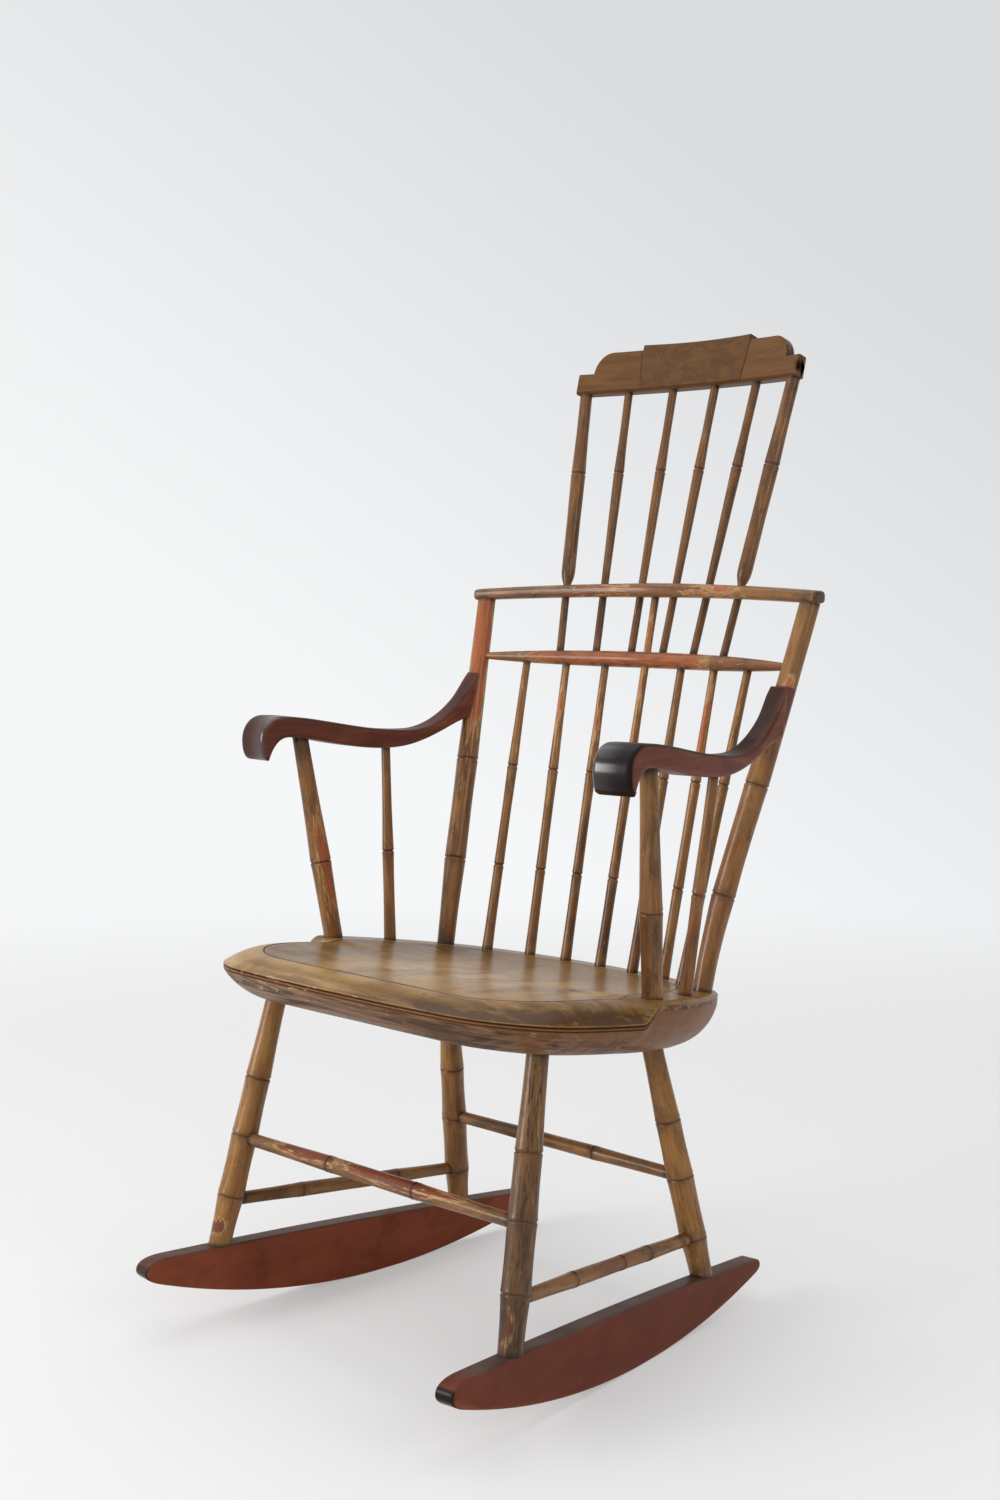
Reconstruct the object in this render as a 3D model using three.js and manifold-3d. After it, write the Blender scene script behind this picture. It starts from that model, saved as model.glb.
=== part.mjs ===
// Comb-back rocking chair with bamboo-turned sticks, a plank seat, bowed rails and scrolled arms.
// Millimetres, +Z up. The front faces -Y, and left and right are as seen from the front.
// Every stick is a turning with its own tenons, and each tenon has a bored socket in what holds it.

import * as THREE from 'three';
import { mergeVertices } from 'three/addons/utils/BufferGeometryUtils.js';
import Module from 'manifold-3d';

// Clearances shared by every joint
const fitClearance = 0.3;
const boreOverrun = 30;

// Seat, whose height is that of the flat spindle deck straight above the plan origin
const seatHeight = 412;
const seatTiltAngle = 8.8;
const seatHalfWidth = 270;
const seatFrontReach = 236;
const seatRearReach = 229;
const seatThickness = 62;
const seatDishDepth = 9;
const seatFrontFall = 8.5;
const seatFallStart = 60;
const seatRimWidth = 43;
const seatLipDrop = 29;
const seatLipSideDrop = 24;
const seatLipStep = 4.5;
const seatEdgeRound = 3;
const seatQuirkDepth = 2.2;
const seatQuirkHeight = 3;
const seatGrooveWidth = 4;
const seatGrooveDepth = 1.2;
const seatDeckFrontEnd = 20;
const seatDeckStepLength = 28;
const seatUnderReach = 49;

// Rockers, whose sole is an arc with a short worn flat where the chair balances
const rockerThickness = 22;
const rockerFrontLength = 105;
const rockerRearLength = 116;
const rockerSoleRadius = 900;
const rockerContactY = 25;
const rockerFlatLength = 40;
const rockerNoseDepth = 22.5;
const rockerTailDepth = 13.19;
const rockerTopCrown = 4;
const rockerNoseRadius = 15;
const rockerTailRadius = 12;
const rockerEdgeRound = 1.2;

// Legs, from the rocker up to the seat, each end measured in from the seat's side and front or rear
const frontFootSideInset = 40;
const frontFootInset = 27;
const rearFootSideInset = 75;
const rearFootInset = 79;
const frontLegSideInset = 66;
const frontLegInset = 104;
const rearLegSideInset = 110;
const rearLegInset = 120;
const legFootRadius = 13;
const legNodeRadius = 15.6;
const legUpperNodeRadius = 14.6;
const legTopRadius = 12;
const legSeatTenon = 34;
const legFootTenonRadius = 6.5;
const legFootTenon = 26;

// Stretchers
const stretcherEndRadius = 7.4;
const frontStretcherRadius = 9.3;
const rearStretcherRadius = 8.5;
const sideStretcherRadius = 8.6;
const stretcherTenonRadius = 6.4;
const stretcherTenon = 11;
const frontStretcherDropShare = 0.012;
const sideStretcherDropShare = 0.02;
const crossStretcherNodeShares = [0.333, 0.667];
const sideStretcherNodeShares = [0.27, 0.73];

// Back posts, set in from the seat's side and rear, with a flat front from the arm upwards
const postSideInset = 67;
const postInset = 91;
const postLeanAngle = 16.5;
const postSplayAngle = 6.55;
const postBendX = -3.6;
const postBendY = -5.1;
const postBendPeakShare = 0.25;
const postFootRadius = 11;
const postNodeRadius = 13.4;
const postTopRadius = 11.5;
const postSeatTenon = 26;
const postFootRelief = 1.8;
const postFlatDepth = 3.4;
const postFlatStartShare = 0.62;
const postTopTenonRadius = 6.5;
const postTopTenon = 9;

// Upper rail, seated on the posts and measured up from the lower rail
const railSpacing = 79.5;
const upperRailDepth = 25;
const upperRailMidThickness = 18;
const upperRailEndThickness = 15;
const upperRailBow = 37;
const upperRailArch = 6;
const upperRailOverhang = 13;
const upperRailRoundLength = 8;
const upperRailTipShare = 0.55;

// Lower rail, tenoned between the posts and measured up from the seat
const lowerRailRise = 339.5;
const lowerRailDepth = 19;
const lowerRailMidThickness = 20;
const lowerRailEndThickness = 9;
const lowerRailTenon = 8;
const lowerRailTenonRelief = 2.3;

// Seat spindles, set in from the seat's side and rear
const spindleSideInset = 116;
const spindleTopSideInset = 96;
const spindleInset = 28;
const spindleFootSetback = 38;
const spindleFootRadius = 6.9;
const spindleNodeRadius = 6.3;
const spindleTopRadius = 4.9;
const spindleSeatTenon = 24;
const spindleRailTenon = 7;

// Comb above the upper rail, set in from the seat's side like the rest
const combFootSideInset = 142.3;
const combTopSideInset = 108;
const combLeanAngle = 15;
const combPostTopRadius = 7.9;
const combPostNodeRadius = 9.2;
const combPostBulgeRadius = 8.8;
const combPostBulgeRise = 16;
const combSpindleTopRadius = 5.3;
const combSpindleNodeRadius = 6.5;
const combFootRadius = 4.8;
const combRailTenon = 7;
const combCrestTenon = 18;
const combPostTenonRadius = 5.2;

// Crest, whose underside is measured up from the upper rail
const combRise = 258;
const crestThickness = 17;
const crestBow = 19;
const crestOverhang = 10;
const crestEndHeight = 26.5;
const crestShoulderHeight = 54;
const crestTabletHeight = 61;
const crestEndBlockLength = 22;
const crestRoundLength = 23;
const crestTabletHalfLength = 83;
const crestStepRun = 0.5;
const crestUnderChamfer = 3;

// Arms and their supports, set in from the seat's side and rear
const armPostSideInset = 20.4;
const armPostInset = 241;
const armPostLeanAngle = -7.7;
const armPostSplayAngle = 4.65;
const armRise = 247;
const armPostFootRadius = 11.4;
const armPostNodeRadius = 12.6;
const armPostTopRadius = 9.4;
const armPostSeatTenon = 22;
const armPostArmTenon = 14;
const armSpindleSideInset = 37.7;
const armSpindleInset = 161;
const armSpindleFootRadius = 7.6;
const armSpindleNodeRadius = 7.2;
const armSpindleTopRadius = 5.6;
const armSpindleArmTenon = 10;
const armWidthFront = 48;
const armWidthRear = 25;
const armDip = 17.5;
const armTopDip = 3.5;
const armScrollReach = 70;
const armScrollDrop = 22.5;
const armFrontRise = 29.5;
const armThroatRise = 4;
const armRearRise = 93;
const armRearRootRise = 28;
const armEdgeRound = 2.2;
const armTenonRadius = 6.5;
const armTenon = 12;
const armTenonRise = 48;

// Scored rings and waists of the bamboo turnings
const ringWidth = 2.4;
const ringDepth = 0.8;
const thickWaistShare = 0.955;
const fineWaistShare = 0.93;

// Facets
const legSides = 12;
const postSides = 12;
const stretcherSides = 9;
const spindleSides = 8;
const railSides = 10;
const boreSides = 8;
const railSteps = 16;
const seatSteps = 44;
const curveSteps = 5;
const soleSteps = 8;
const crestTabletSteps = 4;
const lipCrossings = 4;

const wasm = await Module();
wasm.setup();

const xAxis = new THREE.Vector3(1, 0, 0);
const yAxis = new THREE.Vector3(0, 1, 0);
const { degToRad, lerp, clamp, smoothstep } = THREE.MathUtils;

// Solids and meshes

function toSolid(geometry) {
  const bare = geometry.clone();
  bare.deleteAttribute('normal');
  bare.deleteAttribute('uv');
  const merged = mergeVertices(bare);
  return new wasm.Manifold(new wasm.Mesh({
    numProp: 3,
    vertProperties: new Float32Array(merged.attributes.position.array),
    triVerts: new Uint32Array(merged.index.array),
  }));
}

function toGeometry(solid) {
  const data = solid.getMesh();
  const geometry = new THREE.BufferGeometry();
  geometry.setAttribute('position', new THREE.BufferAttribute(data.vertProperties, 3));
  geometry.setIndex(new THREE.BufferAttribute(data.triVerts, 1));
  geometry.computeVertexNormals();
  return geometry;
}

// A closed body from points and faces, with the faces turned to point out
function closedBody(points, faces) {
  let volume = 0;
  for (const [a, b, c] of faces) {
    volume += points[a].dot(new THREE.Vector3().crossVectors(points[b], points[c]));
  }
  const geometry = new THREE.BufferGeometry().setFromPoints(points);
  geometry.setIndex(faces.flatMap(([a, b, c]) => (volume > 0 ? [a, b, c] : [a, c, b])));
  return toSolid(geometry);
}

// A closed body through rings of points, with a fan over each end
function loft(rings) {
  const size = rings[0].length;
  const points = rings.flat();
  const faces = [];
  for (let ring = 0; ring + 1 < rings.length; ring += 1) {
    for (let step = 0; step < size; step += 1) {
      const a = ring * size + step;
      const b = ring * size + (step + 1) % size;
      faces.push([a, b, b + size], [a, b + size, a + size]);
    }
  }
  for (const ring of [0, rings.length - 1]) {
    const centre = new THREE.Vector3();
    rings[ring].forEach((point) => centre.add(point));
    points.push(centre.divideScalar(size));
    for (let step = 0; step < size; step += 1) {
      const a = ring * size + step;
      const b = ring * size + (step + 1) % size;
      faces.push(ring ? [a, b, points.length - 1] : [b, a, points.length - 1]);
    }
  }
  return closedBody(points, faces);
}

// A matrix that lays a lathe's axis from one point towards another
function alongAxis(from, to) {
  const direction = new THREE.Vector3().subVectors(to, from).normalize();
  const turn = new THREE.Quaternion().setFromUnitVectors(yAxis, direction);
  return new THREE.Matrix4().compose(from, turn, new THREE.Vector3(1, 1, 1));
}

function beyond(from, to, distance) {
  const direction = new THREE.Vector3().subVectors(to, from).normalize();
  return to.clone().addScaledVector(direction, distance);
}

function partWay(from, to, share) {
  return new THREE.Vector3().lerpVectors(from, to, share);
}

function atHeight(from, to, height) {
  return partWay(from, to, (height - from.z) / (to.z - from.z));
}

// A turning from one point to another. Stations are [place along, radius, scored].
function turnedShape(from, to, stations, tenons, sides) {
  const length = from.distanceTo(to);
  const [first, last] = tenons;
  const outline = [
    new THREE.Vector2(0, -first.length),
    new THREE.Vector2(first.radius, -first.length),
  ];
  if (first.radius !== stations[0][1]) outline.push(new THREE.Vector2(first.radius, 0));
  for (const [share, radius, scored] of stations) {
    const along = share * length;
    if (scored) {
      outline.push(new THREE.Vector2(radius, along - ringWidth / 2));
      outline.push(new THREE.Vector2(radius - ringDepth, along));
      outline.push(new THREE.Vector2(radius, along + ringWidth / 2));
    } else {
      outline.push(new THREE.Vector2(radius, along));
    }
  }
  if (last.radius !== stations.at(-1)[1]) outline.push(new THREE.Vector2(last.radius, length));
  outline.push(new THREE.Vector2(last.radius, length + last.length));
  outline.push(new THREE.Vector2(0, length + last.length));
  return new THREE.LatheGeometry(outline, sides).applyMatrix4(alongAxis(from, to));
}

function turning(from, to, stations, tenons, sides) {
  return toSolid(turnedShape(from, to, stations, tenons, sides));
}

// Stations of a bamboo turning: ends, scored nodes, and a waist between each two
function bamboo(endRadii, nodes, waistShare) {
  const marks = [[0, endRadii[0]], ...nodes.map(([at, radius]) => [at, radius, true]), [1, endRadii[1]]];
  return marks.flatMap((mark, index) => {
    if (index === 0) return [mark];
    const [before, radiusBefore] = marks[index - 1];
    const waist = (radiusBefore + mark[1]) / 2 * waistShare;
    return [[(before + mark[0]) / 2, waist], mark];
  });
}

// A plain round bar between two points
function bar(from, to, radius) {
  const length = from.distanceTo(to);
  const geometry = new THREE.CylinderGeometry(radius, radius, length, boreSides);
  geometry.translate(0, length / 2, 0);
  return toSolid(geometry.applyMatrix4(alongAxis(from, to)));
}

// The socket for a tenon that runs past a point on a surface, bored from the open side
function bore(from, surface, depth, radius) {
  const flatRadius = (radius + fitClearance) / Math.cos(Math.PI / boreSides);
  return bar(beyond(from, surface, -boreOverrun), beyond(from, surface, depth + fitClearance), flatRadius);
}

function cutAll(solid, cutters) {
  return cutters.reduce((left, cutter) => left.subtract(cutter), solid);
}

function mirrored(solid) {
  return solid.mirror([1, 0, 0]);
}

function mirrorAcross(point) {
  return new THREE.Vector3(-point.x, point.y, point.z);
}

// Places on the seat: u is across, v runs back along the tilted deck, w is square to it
const seatMatrix = new THREE.Matrix4()
  .makeTranslation(0, 0, seatHeight)
  .multiply(new THREE.Matrix4().makeRotationAxis(xAxis, -degToRad(seatTiltAngle)));

function onSeat(u, v, w = 0) {
  return new THREE.Vector3(u, v, w).applyMatrix4(seatMatrix);
}

function leaning(from, height, lean, splay) {
  const rise = height - from.z;
  const across = Math.tan(degToRad(splay)) * rise;
  return new THREE.Vector3(from.x + across, from.y + Math.tan(degToRad(lean)) * rise, height);
}

// A bow that bends most in the middle, 0 there and 1 at the ends
const bowSharpnessShare = 0.3;
function bow(share) {
  const bend = (value) => Math.hypot(value, bowSharpnessShare) - bowSharpnessShare;
  return bend(share) / bend(1);
}

// Places that follow the seat's outline, and heights that follow the seat
const frontFootX = seatHalfWidth - frontFootSideInset;
const frontFootY = frontFootInset - seatFrontReach;
const rearFootX = seatHalfWidth - rearFootSideInset;
const rearFootY = seatRearReach - rearFootInset;
const frontLegTopX = seatHalfWidth - frontLegSideInset;
const frontLegTopV = frontLegInset - seatFrontReach;
const rearLegTopX = seatHalfWidth - rearLegSideInset;
const rearLegTopV = seatRearReach - rearLegInset;
const postFootX = seatHalfWidth - postSideInset;
const postFootV = seatRearReach - postInset;
const spindleFootHalfSpan = seatHalfWidth - spindleSideInset;
const spindleFootV = seatRearReach - spindleInset;
const spindleTopHalfSpan = seatHalfWidth - spindleTopSideInset;
const combFootHalfSpan = seatHalfWidth - combFootSideInset;
const combTopHalfSpan = seatHalfWidth - combTopSideInset;
const crestHalfLength = combTopHalfSpan + crestOverhang;
const armPostFootX = seatHalfWidth - armPostSideInset;
const armPostFootV = seatRearReach - armPostInset;
const armSpindleFootX = seatHalfWidth - armSpindleSideInset;
const armSpindleFootV = seatRearReach - armSpindleInset;
const armUndersideHeight = seatHeight + armRise;
const lowerRailHeight = seatHeight + lowerRailRise;
const upperRailHeight = lowerRailHeight + railSpacing;
const crestBottomHeight = upperRailHeight + combRise;

// Centre lines that several pieces share
const postFoot = onSeat(postFootX, postFootV);
const postTop = leaning(postFoot, upperRailHeight, postLeanAngle, postSplayAngle);
const postBend = new THREE.Vector3(postBendX, postBendY, 0);
const bendScale = 1 / (postBendPeakShare * (1 - postBendPeakShare) ** 3);
const postFootAim = postTop.clone().addScaledVector(postBend, bendScale);
const postAtLowerRail = atHeight(postFoot, postTop, lowerRailHeight);
const upperRailMid = new THREE.Vector3(0, postTop.y + upperRailBow, upperRailHeight + upperRailArch);
const middleSpindleFoot = onSeat(0, spindleFootV);
const lowerRailMid = atHeight(middleSpindleFoot, upperRailMid, lowerRailHeight);

function onUpperRail(x) {
  const share = Math.abs(x) / postTop.x;
  const y = upperRailMid.y - upperRailBow * bow(share);
  return new THREE.Vector3(x, y, upperRailMid.z - upperRailArch * share * share);
}

function onLowerRail(x) {
  const fall = lowerRailMid.y - postAtLowerRail.y;
  const share = Math.abs(x) / postAtLowerRail.x;
  return new THREE.Vector3(x, lowerRailMid.y - fall * bow(share), lowerRailHeight);
}

const combPostFoot = onLowerRail(combFootHalfSpan);
const combPostRun = Math.tan(degToRad(combLeanAngle)) * (crestBottomHeight - lowerRailHeight);
const crestMidY = combPostFoot.y + combPostRun + crestBow;

function onCrest(x) {
  const share = x / combTopHalfSpan;
  return new THREE.Vector3(x, crestMidY - crestBow * share * share, crestBottomHeight);
}

// Rocker, drawn along its own length from the front foot, then turned to run under both feet
const footRun = rearFootY - frontFootY;
const toeIn = Math.atan2(frontFootX - rearFootX, footRun);
const legSpacing = Math.hypot(frontFootX - rearFootX, footRun);
const rockerContact = (rockerContactY - frontFootY) / Math.cos(toeIn);
const rockerFront = -rockerFrontLength;
const rockerRear = legSpacing + rockerRearLength;
const rockerMatrix = new THREE.Matrix4()
  .makeTranslation(frontFootX, frontFootY, 0)
  .multiply(new THREE.Matrix4().makeRotationZ(Math.PI / 2 + toeIn))
  .multiply(new THREE.Matrix4().makeRotationX(Math.PI / 2));

const soleCentre = Math.sqrt(rockerSoleRadius ** 2 - (rockerFlatLength / 2) ** 2);
function soleAngle(along) {
  return Math.asin((along - rockerContact) / rockerSoleRadius) - Math.PI / 2;
}
function soleHeight(along) {
  return soleCentre + rockerSoleRadius * Math.sin(soleAngle(along));
}

const rockerFrontHeight = soleHeight(rockerFront) + rockerNoseDepth;
const rockerRearHeight = soleHeight(rockerRear) + rockerTailDepth;
function rockerTop(along) {
  const share = (along - rockerFront) / (rockerRear - rockerFront);
  return lerp(rockerFrontHeight, rockerRearHeight, share) + rockerTopCrown * 4 * share * (1 - share);
}

function rockerOutline() {
  const nose = rockerFront + rockerNoseRadius;
  const tail = rockerRear - rockerTailRadius;
  const arc = (start, end) => [
    rockerContact, soleCentre, rockerSoleRadius, soleAngle(start), soleAngle(end),
  ];
  const flatStart = rockerContact - rockerFlatLength / 2;
  const flatEnd = rockerContact + rockerFlatLength / 2;
  const shape = new THREE.Shape();
  shape.moveTo(nose, soleHeight(nose));
  shape.absarc(...arc(nose, flatStart), false);
  shape.lineTo(flatEnd, 0);
  shape.absarc(...arc(flatEnd, tail), false);
  const tailMiddle = (soleHeight(tail) + rockerTop(tail)) / 2;
  shape.quadraticCurveTo(rockerRear, soleHeight(rockerRear), rockerRear, tailMiddle);
  shape.quadraticCurveTo(rockerRear, rockerTop(rockerRear), tail, rockerTop(tail));
  const noseTop = nose + rockerNoseRadius;
  const topMiddle = (noseTop + tail) / 2;
  const topPull = 2 * rockerTop(topMiddle) - (rockerTop(noseTop) + rockerTop(tail)) / 2;
  shape.quadraticCurveTo(topMiddle, topPull, noseTop, rockerTop(noseTop));
  const noseMiddle = (soleHeight(nose) + rockerTop(nose)) / 2;
  shape.quadraticCurveTo(rockerFront, rockerTop(nose), rockerFront, noseMiddle);
  shape.quadraticCurveTo(rockerFront, soleHeight(nose), nose, soleHeight(nose));
  return shape;
}

function rockerBlank() {
  const geometry = new THREE.ExtrudeGeometry(rockerOutline(), {
    depth: rockerThickness - 2 * rockerEdgeRound,
    bevelThickness: rockerEdgeRound,
    bevelSize: rockerEdgeRound,
    bevelOffset: -rockerEdgeRound,
    bevelSegments: 1,
    curveSegments: soleSteps,
  });
  geometry.translate(0, 0, rockerEdgeRound - rockerThickness / 2);
  return toSolid(geometry.applyMatrix4(rockerMatrix));
}

// All that lies under the rocker's top line, wider than the rocker, raised by the clearance
function underRockerTop() {
  const shape = new THREE.Shape();
  shape.moveTo(rockerFront, -boreOverrun);
  shape.lineTo(rockerRear, -boreOverrun);
  const topMiddle = (rockerFront + rockerRear) / 2;
  const ends = (rockerTop(rockerRear) + rockerTop(rockerFront)) / 2;
  shape.lineTo(rockerRear, rockerTop(rockerRear) + fitClearance);
  const pull = 2 * rockerTop(topMiddle) - ends + fitClearance;
  shape.quadraticCurveTo(topMiddle, pull, rockerFront, rockerTop(rockerFront) + fitClearance);
  const width = rockerThickness + 2 * boreOverrun;
  const geometry = new THREE.ExtrudeGeometry(shape, {
    depth: width,
    bevelEnabled: false,
    curveSegments: soleSteps,
  });
  geometry.translate(0, 0, -width / 2);
  return toSolid(geometry.applyMatrix4(rockerMatrix));
}

// Legs: the foot stands on the rocker and a thin tenon goes down into it
const frontFoot = new THREE.Vector3(frontFootX, frontFootY, rockerTop(0));
const rearFoot = new THREE.Vector3(rearFootX, rearFootY, rockerTop(legSpacing));
const frontLegTop = onSeat(frontLegTopX, frontLegTopV, -seatThickness);
const rearLegTop = onSeat(rearLegTopX, rearLegTopV, -seatThickness);
const frontNodeShares = [0.195, 0.437, 0.6665];
const rearNodeShares = [0.165, 0.427, 0.666];

function leg(foot, top, nodeShares) {
  const radii = [legNodeRadius, legNodeRadius, legUpperNodeRadius];
  const nodes = nodeShares.map((share, index) => [share, radii[index]]);
  const stations = bamboo([legFootRadius, legTopRadius], nodes, thickWaistShare);
  const tenons = [
    { radius: legFootRadius, length: legFootRadius },
    { radius: legTopRadius, length: legSeatTenon },
  ];
  const body = turning(foot, top, stations, tenons, legSides).subtract(underRockerTop());
  const tenonStart = partWay(foot, top, nodeShares[0] / 2);
  return body.add(bar(tenonStart, beyond(top, foot, legFootTenon), legFootTenonRadius));
}

// Stretchers run between the nodes of the legs
const frontMeetShare = frontNodeShares[1] - frontStretcherDropShare;
const frontMeet = partWay(frontFoot, frontLegTop, frontMeetShare);
const rearMeet = partWay(rearFoot, rearLegTop, rearNodeShares[1]);
const sideFrontShare = frontNodeShares[0] - sideStretcherDropShare;
const sideFrontMeet = partWay(frontFoot, frontLegTop, sideFrontShare);
const sideRearMeet = partWay(rearFoot, rearLegTop, rearNodeShares[0]);

function stretcherEnds(from, to) {
  return [beyond(to, from, -legNodeRadius), beyond(from, to, -legNodeRadius)];
}

function stretcher(from, to, nodeShares, nodeRadius) {
  const [start, end] = stretcherEnds(from, to);
  const nodes = nodeShares.map((share) => [share, nodeRadius]);
  const stations = bamboo([stretcherEndRadius, stretcherEndRadius], nodes, thickWaistShare);
  const tenon = { radius: stretcherTenonRadius, length: stretcherTenon };
  return turning(start, end, stations, [tenon, tenon], stretcherSides);
}

// The socket in a leg, with a shallow seat where the stretcher's end meets the round leg
function stretcherBore(from, to) {
  const [, end] = stretcherEnds(from, to);
  const seat = bore(from, end, 0, stretcherEndRadius);
  return seat.add(bore(from, end, stretcherTenon, stretcherTenonRadius));
}

// Back posts
const armTenonHeight = armUndersideHeight + armTenonRise;
const postAtArm = atHeight(postFoot, postTop, armTenonHeight);
const armFootPoint = onSeat(armPostFootX, armPostFootV);
const armPostTop = leaning(armFootPoint, armUndersideHeight, armPostLeanAngle, armPostSplayAngle);
const armRun = Math.hypot(postAtArm.x - armPostTop.x, postAtArm.y - armPostTop.y);
const armTurn = Math.atan2(armPostTop.x - postAtArm.x, postAtArm.y - armPostTop.y);
const postNodeShares = [0.24, 0.52];
const postFlatOffset = postNodeRadius - postFlatDepth;

// A slab on one side of the plane of the post's flat front: 1 is in front of it, -1 behind it
function slabAtPostFlat(side, gap, fromShare) {
  const length = postFoot.distanceTo(postTop);
  const reach = length * (1 - fromShare) + boreOverrun;
  const depth = armWidthFront + 2 * boreOverrun;
  const slab = new THREE.BoxGeometry(depth, reach, depth);
  slab.translate(0, length * fromShare + reach / 2, postFlatOffset + gap + side * depth / 2);
  const axis = new THREE.Vector3().subVectors(postTop, postFoot).normalize();
  const forward = new THREE.Vector3(Math.sin(armTurn), -Math.cos(armTurn), 0);
  forward.addScaledVector(axis, -forward.dot(axis)).normalize();
  const across = new THREE.Vector3().crossVectors(axis, forward);
  const matrix = new THREE.Matrix4().makeBasis(across, axis, forward).setPosition(postFoot);
  return toSolid(slab.applyMatrix4(matrix));
}

// Upper rail: a bowed bar whose rounded ends lie over the posts. Widened, it cuts the posts to fit.
const upperRailSectionShares = [
  [-1, -0.35], [-1, 0.35], [-0.6, 1], [0.6, 1], [1, 0.35], [1, -0.35], [0.6, -1], [-0.6, -1],
];

function upperRailSection(x, halfDepth, halfThickness) {
  const centre = onUpperRail(x);
  return upperRailSectionShares.map(([back, up]) => (
    new THREE.Vector3(x, centre.y + back * halfDepth, centre.z + up * halfThickness)
  ));
}

function upperRailBody(widening = 0) {
  const end = postTop.x + upperRailOverhang;
  const full = end - upperRailRoundLength;
  const places = [-end];
  for (let step = 0; step <= railSteps; step += 1) places.push(lerp(-full, full, step / railSteps));
  places.push(end);
  return loft(places.map((x) => {
    const thickness = lerp(upperRailMidThickness, upperRailEndThickness, Math.abs(x) / end);
    if (widening) return upperRailSection(x, upperRailDepth / 2 + widening, thickness / 2 + fitClearance);
    const tip = Math.abs(x) > full ? upperRailTipShare : 1;
    return upperRailSection(x, upperRailDepth / 2 * tip, thickness / 2);
  }));
}
const upperRailTopAtComb = onUpperRail(combTopHalfSpan).z + upperRailMidThickness / 2;

// Lower rail: lens-shaped, with a round tenon at each end
const lowerRailShoulderX = postAtLowerRail.x - postNodeRadius;
const lensExponent = 3;

function lowerRailGirth(x) {
  const share = clamp(Math.abs(x) / lowerRailShoulderX, 0, 1);
  const swell = 1 - share ** lensExponent;
  return {
    halfDepth: lerp(lowerRailEndThickness, lowerRailDepth, swell) / 2,
    halfThickness: lerp(lowerRailEndThickness, lowerRailMidThickness, swell) / 2,
  };
}

function lowerRailBody() {
  const end = lowerRailShoulderX + lowerRailTenon;
  const places = [-end];
  for (let step = 0; step <= railSteps; step += 1) {
    places.push(lerp(-lowerRailShoulderX, lowerRailShoulderX, step / railSteps));
  }
  places.push(end);
  const rings = places.map((x) => {
    const { halfDepth, halfThickness } = lowerRailGirth(x);
    const centre = onLowerRail(x);
    const ring = [];
    for (let side = 0; side < railSides; side += 1) {
      const angle = side / railSides * 2 * Math.PI;
      const y = centre.y + halfDepth * Math.cos(angle);
      ring.push(new THREE.Vector3(x, y, centre.z + halfThickness * Math.sin(angle)));
    }
    return ring;
  });
  return loft(rings);
}

function lowerRailBore() {
  const inner = onLowerRail(lowerRailShoulderX);
  const outer = onLowerRail(lowerRailShoulderX + lowerRailTenon);
  return bore(inner, outer, lowerRailTenonRelief, lowerRailEndThickness / 2);
}

// Back post, whose top is cut to fit under the upper rail, with a tenon up into it
const postShoulder = atHeight(postFoot, postTop, upperRailHeight - upperRailEndThickness / 2);

function bentLikePost(geometry) {
  const axis = new THREE.Vector3().subVectors(postTop, postFoot);
  const position = geometry.attributes.position;
  const point = new THREE.Vector3();
  for (let index = 0; index < position.count; index += 1) {
    point.fromBufferAttribute(position, index);
    const share = point.clone().sub(postFoot).dot(axis) / axis.lengthSq();
    point.addScaledVector(postBend, bendScale * share * (1 - Math.max(share, 0)) ** 3);
    position.setXYZ(index, point.x, point.y, point.z);
  }
  return geometry;
}

function backPost() {
  const nodes = postNodeShares.map((share) => [share, postNodeRadius]);
  const stations = bamboo([postFootRadius, postTopRadius], nodes, thickWaistShare);
  const tenons = [
    { radius: postFootRadius, length: postSeatTenon },
    { radius: postTopRadius, length: postTopRadius },
  ];
  const turned = toSolid(bentLikePost(turnedShape(postFoot, postTop, stations, tenons, postSides)));
  const above = new THREE.BoxGeometry(2 * boreOverrun, 2 * boreOverrun, boreOverrun);
  above.translate(postTop.x, postTop.y, upperRailHeight + boreOverrun / 2);
  const shaped = cutAll(turned, [
    upperRailBody(upperRailDepth),
    toSolid(above),
    slabAtPostFlat(1, 0, postFlatStartShare),
  ]);
  const tenonRoot = beyond(postFoot, postShoulder, -postTopRadius);
  const tenon = bar(tenonRoot, beyond(postFoot, postShoulder, postTopTenon), postTopTenonRadius);
  return cutAll(shaped.add(tenon), [
    bore(armTenonStart, armTenonSurface, armTenon, armTenonRadius),
    lowerRailBore(),
  ]);
}

// Arm: side view in its own upright plane, from the arm post back to the flat of the back post
const armMatrix = new THREE.Matrix4()
  .makeTranslation(armPostTop.x, armPostTop.y, armPostTop.z)
  .multiply(new THREE.Matrix4().makeRotationZ(Math.PI / 2 + armTurn))
  .multiply(new THREE.Matrix4().makeRotationX(Math.PI / 2));
const armEnd = armRun + postFlatOffset;
const armLowShare = 0.45;

// Curves of the arm, each as four points: share of the length and rise over the arm post
function armCurve(points) {
  const [a, b, c, d] = points.map(([share, rise]) => new THREE.Vector2(armEnd * share, rise));
  return new THREE.CubicBezierCurve(a, b, c, d);
}
const armTopLowShare = 0.57;
const armCrownShare = -0.15;
const armThroatShare = -0.105;
const armTopFrontShares = [0.04, 0.3];
const armTopRearShares = [0.715, 0.87];
const armUnderRearShares = [0.78, 0.64];
const armUnderFrontShares = [0.22, 0.04];
const armCrownPullShare = 0.97;
const armRearPullShare = 0.34;
const armRootPullShare = 0.2;
const armThroatPullShare = 0.5;
const armTopFront = armCurve([
  [armCrownShare, armFrontRise],
  [armTopFrontShares[0], armFrontRise * armCrownPullShare],
  [armTopFrontShares[1], armTopDip],
  [armTopLowShare, armTopDip],
]);
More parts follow.
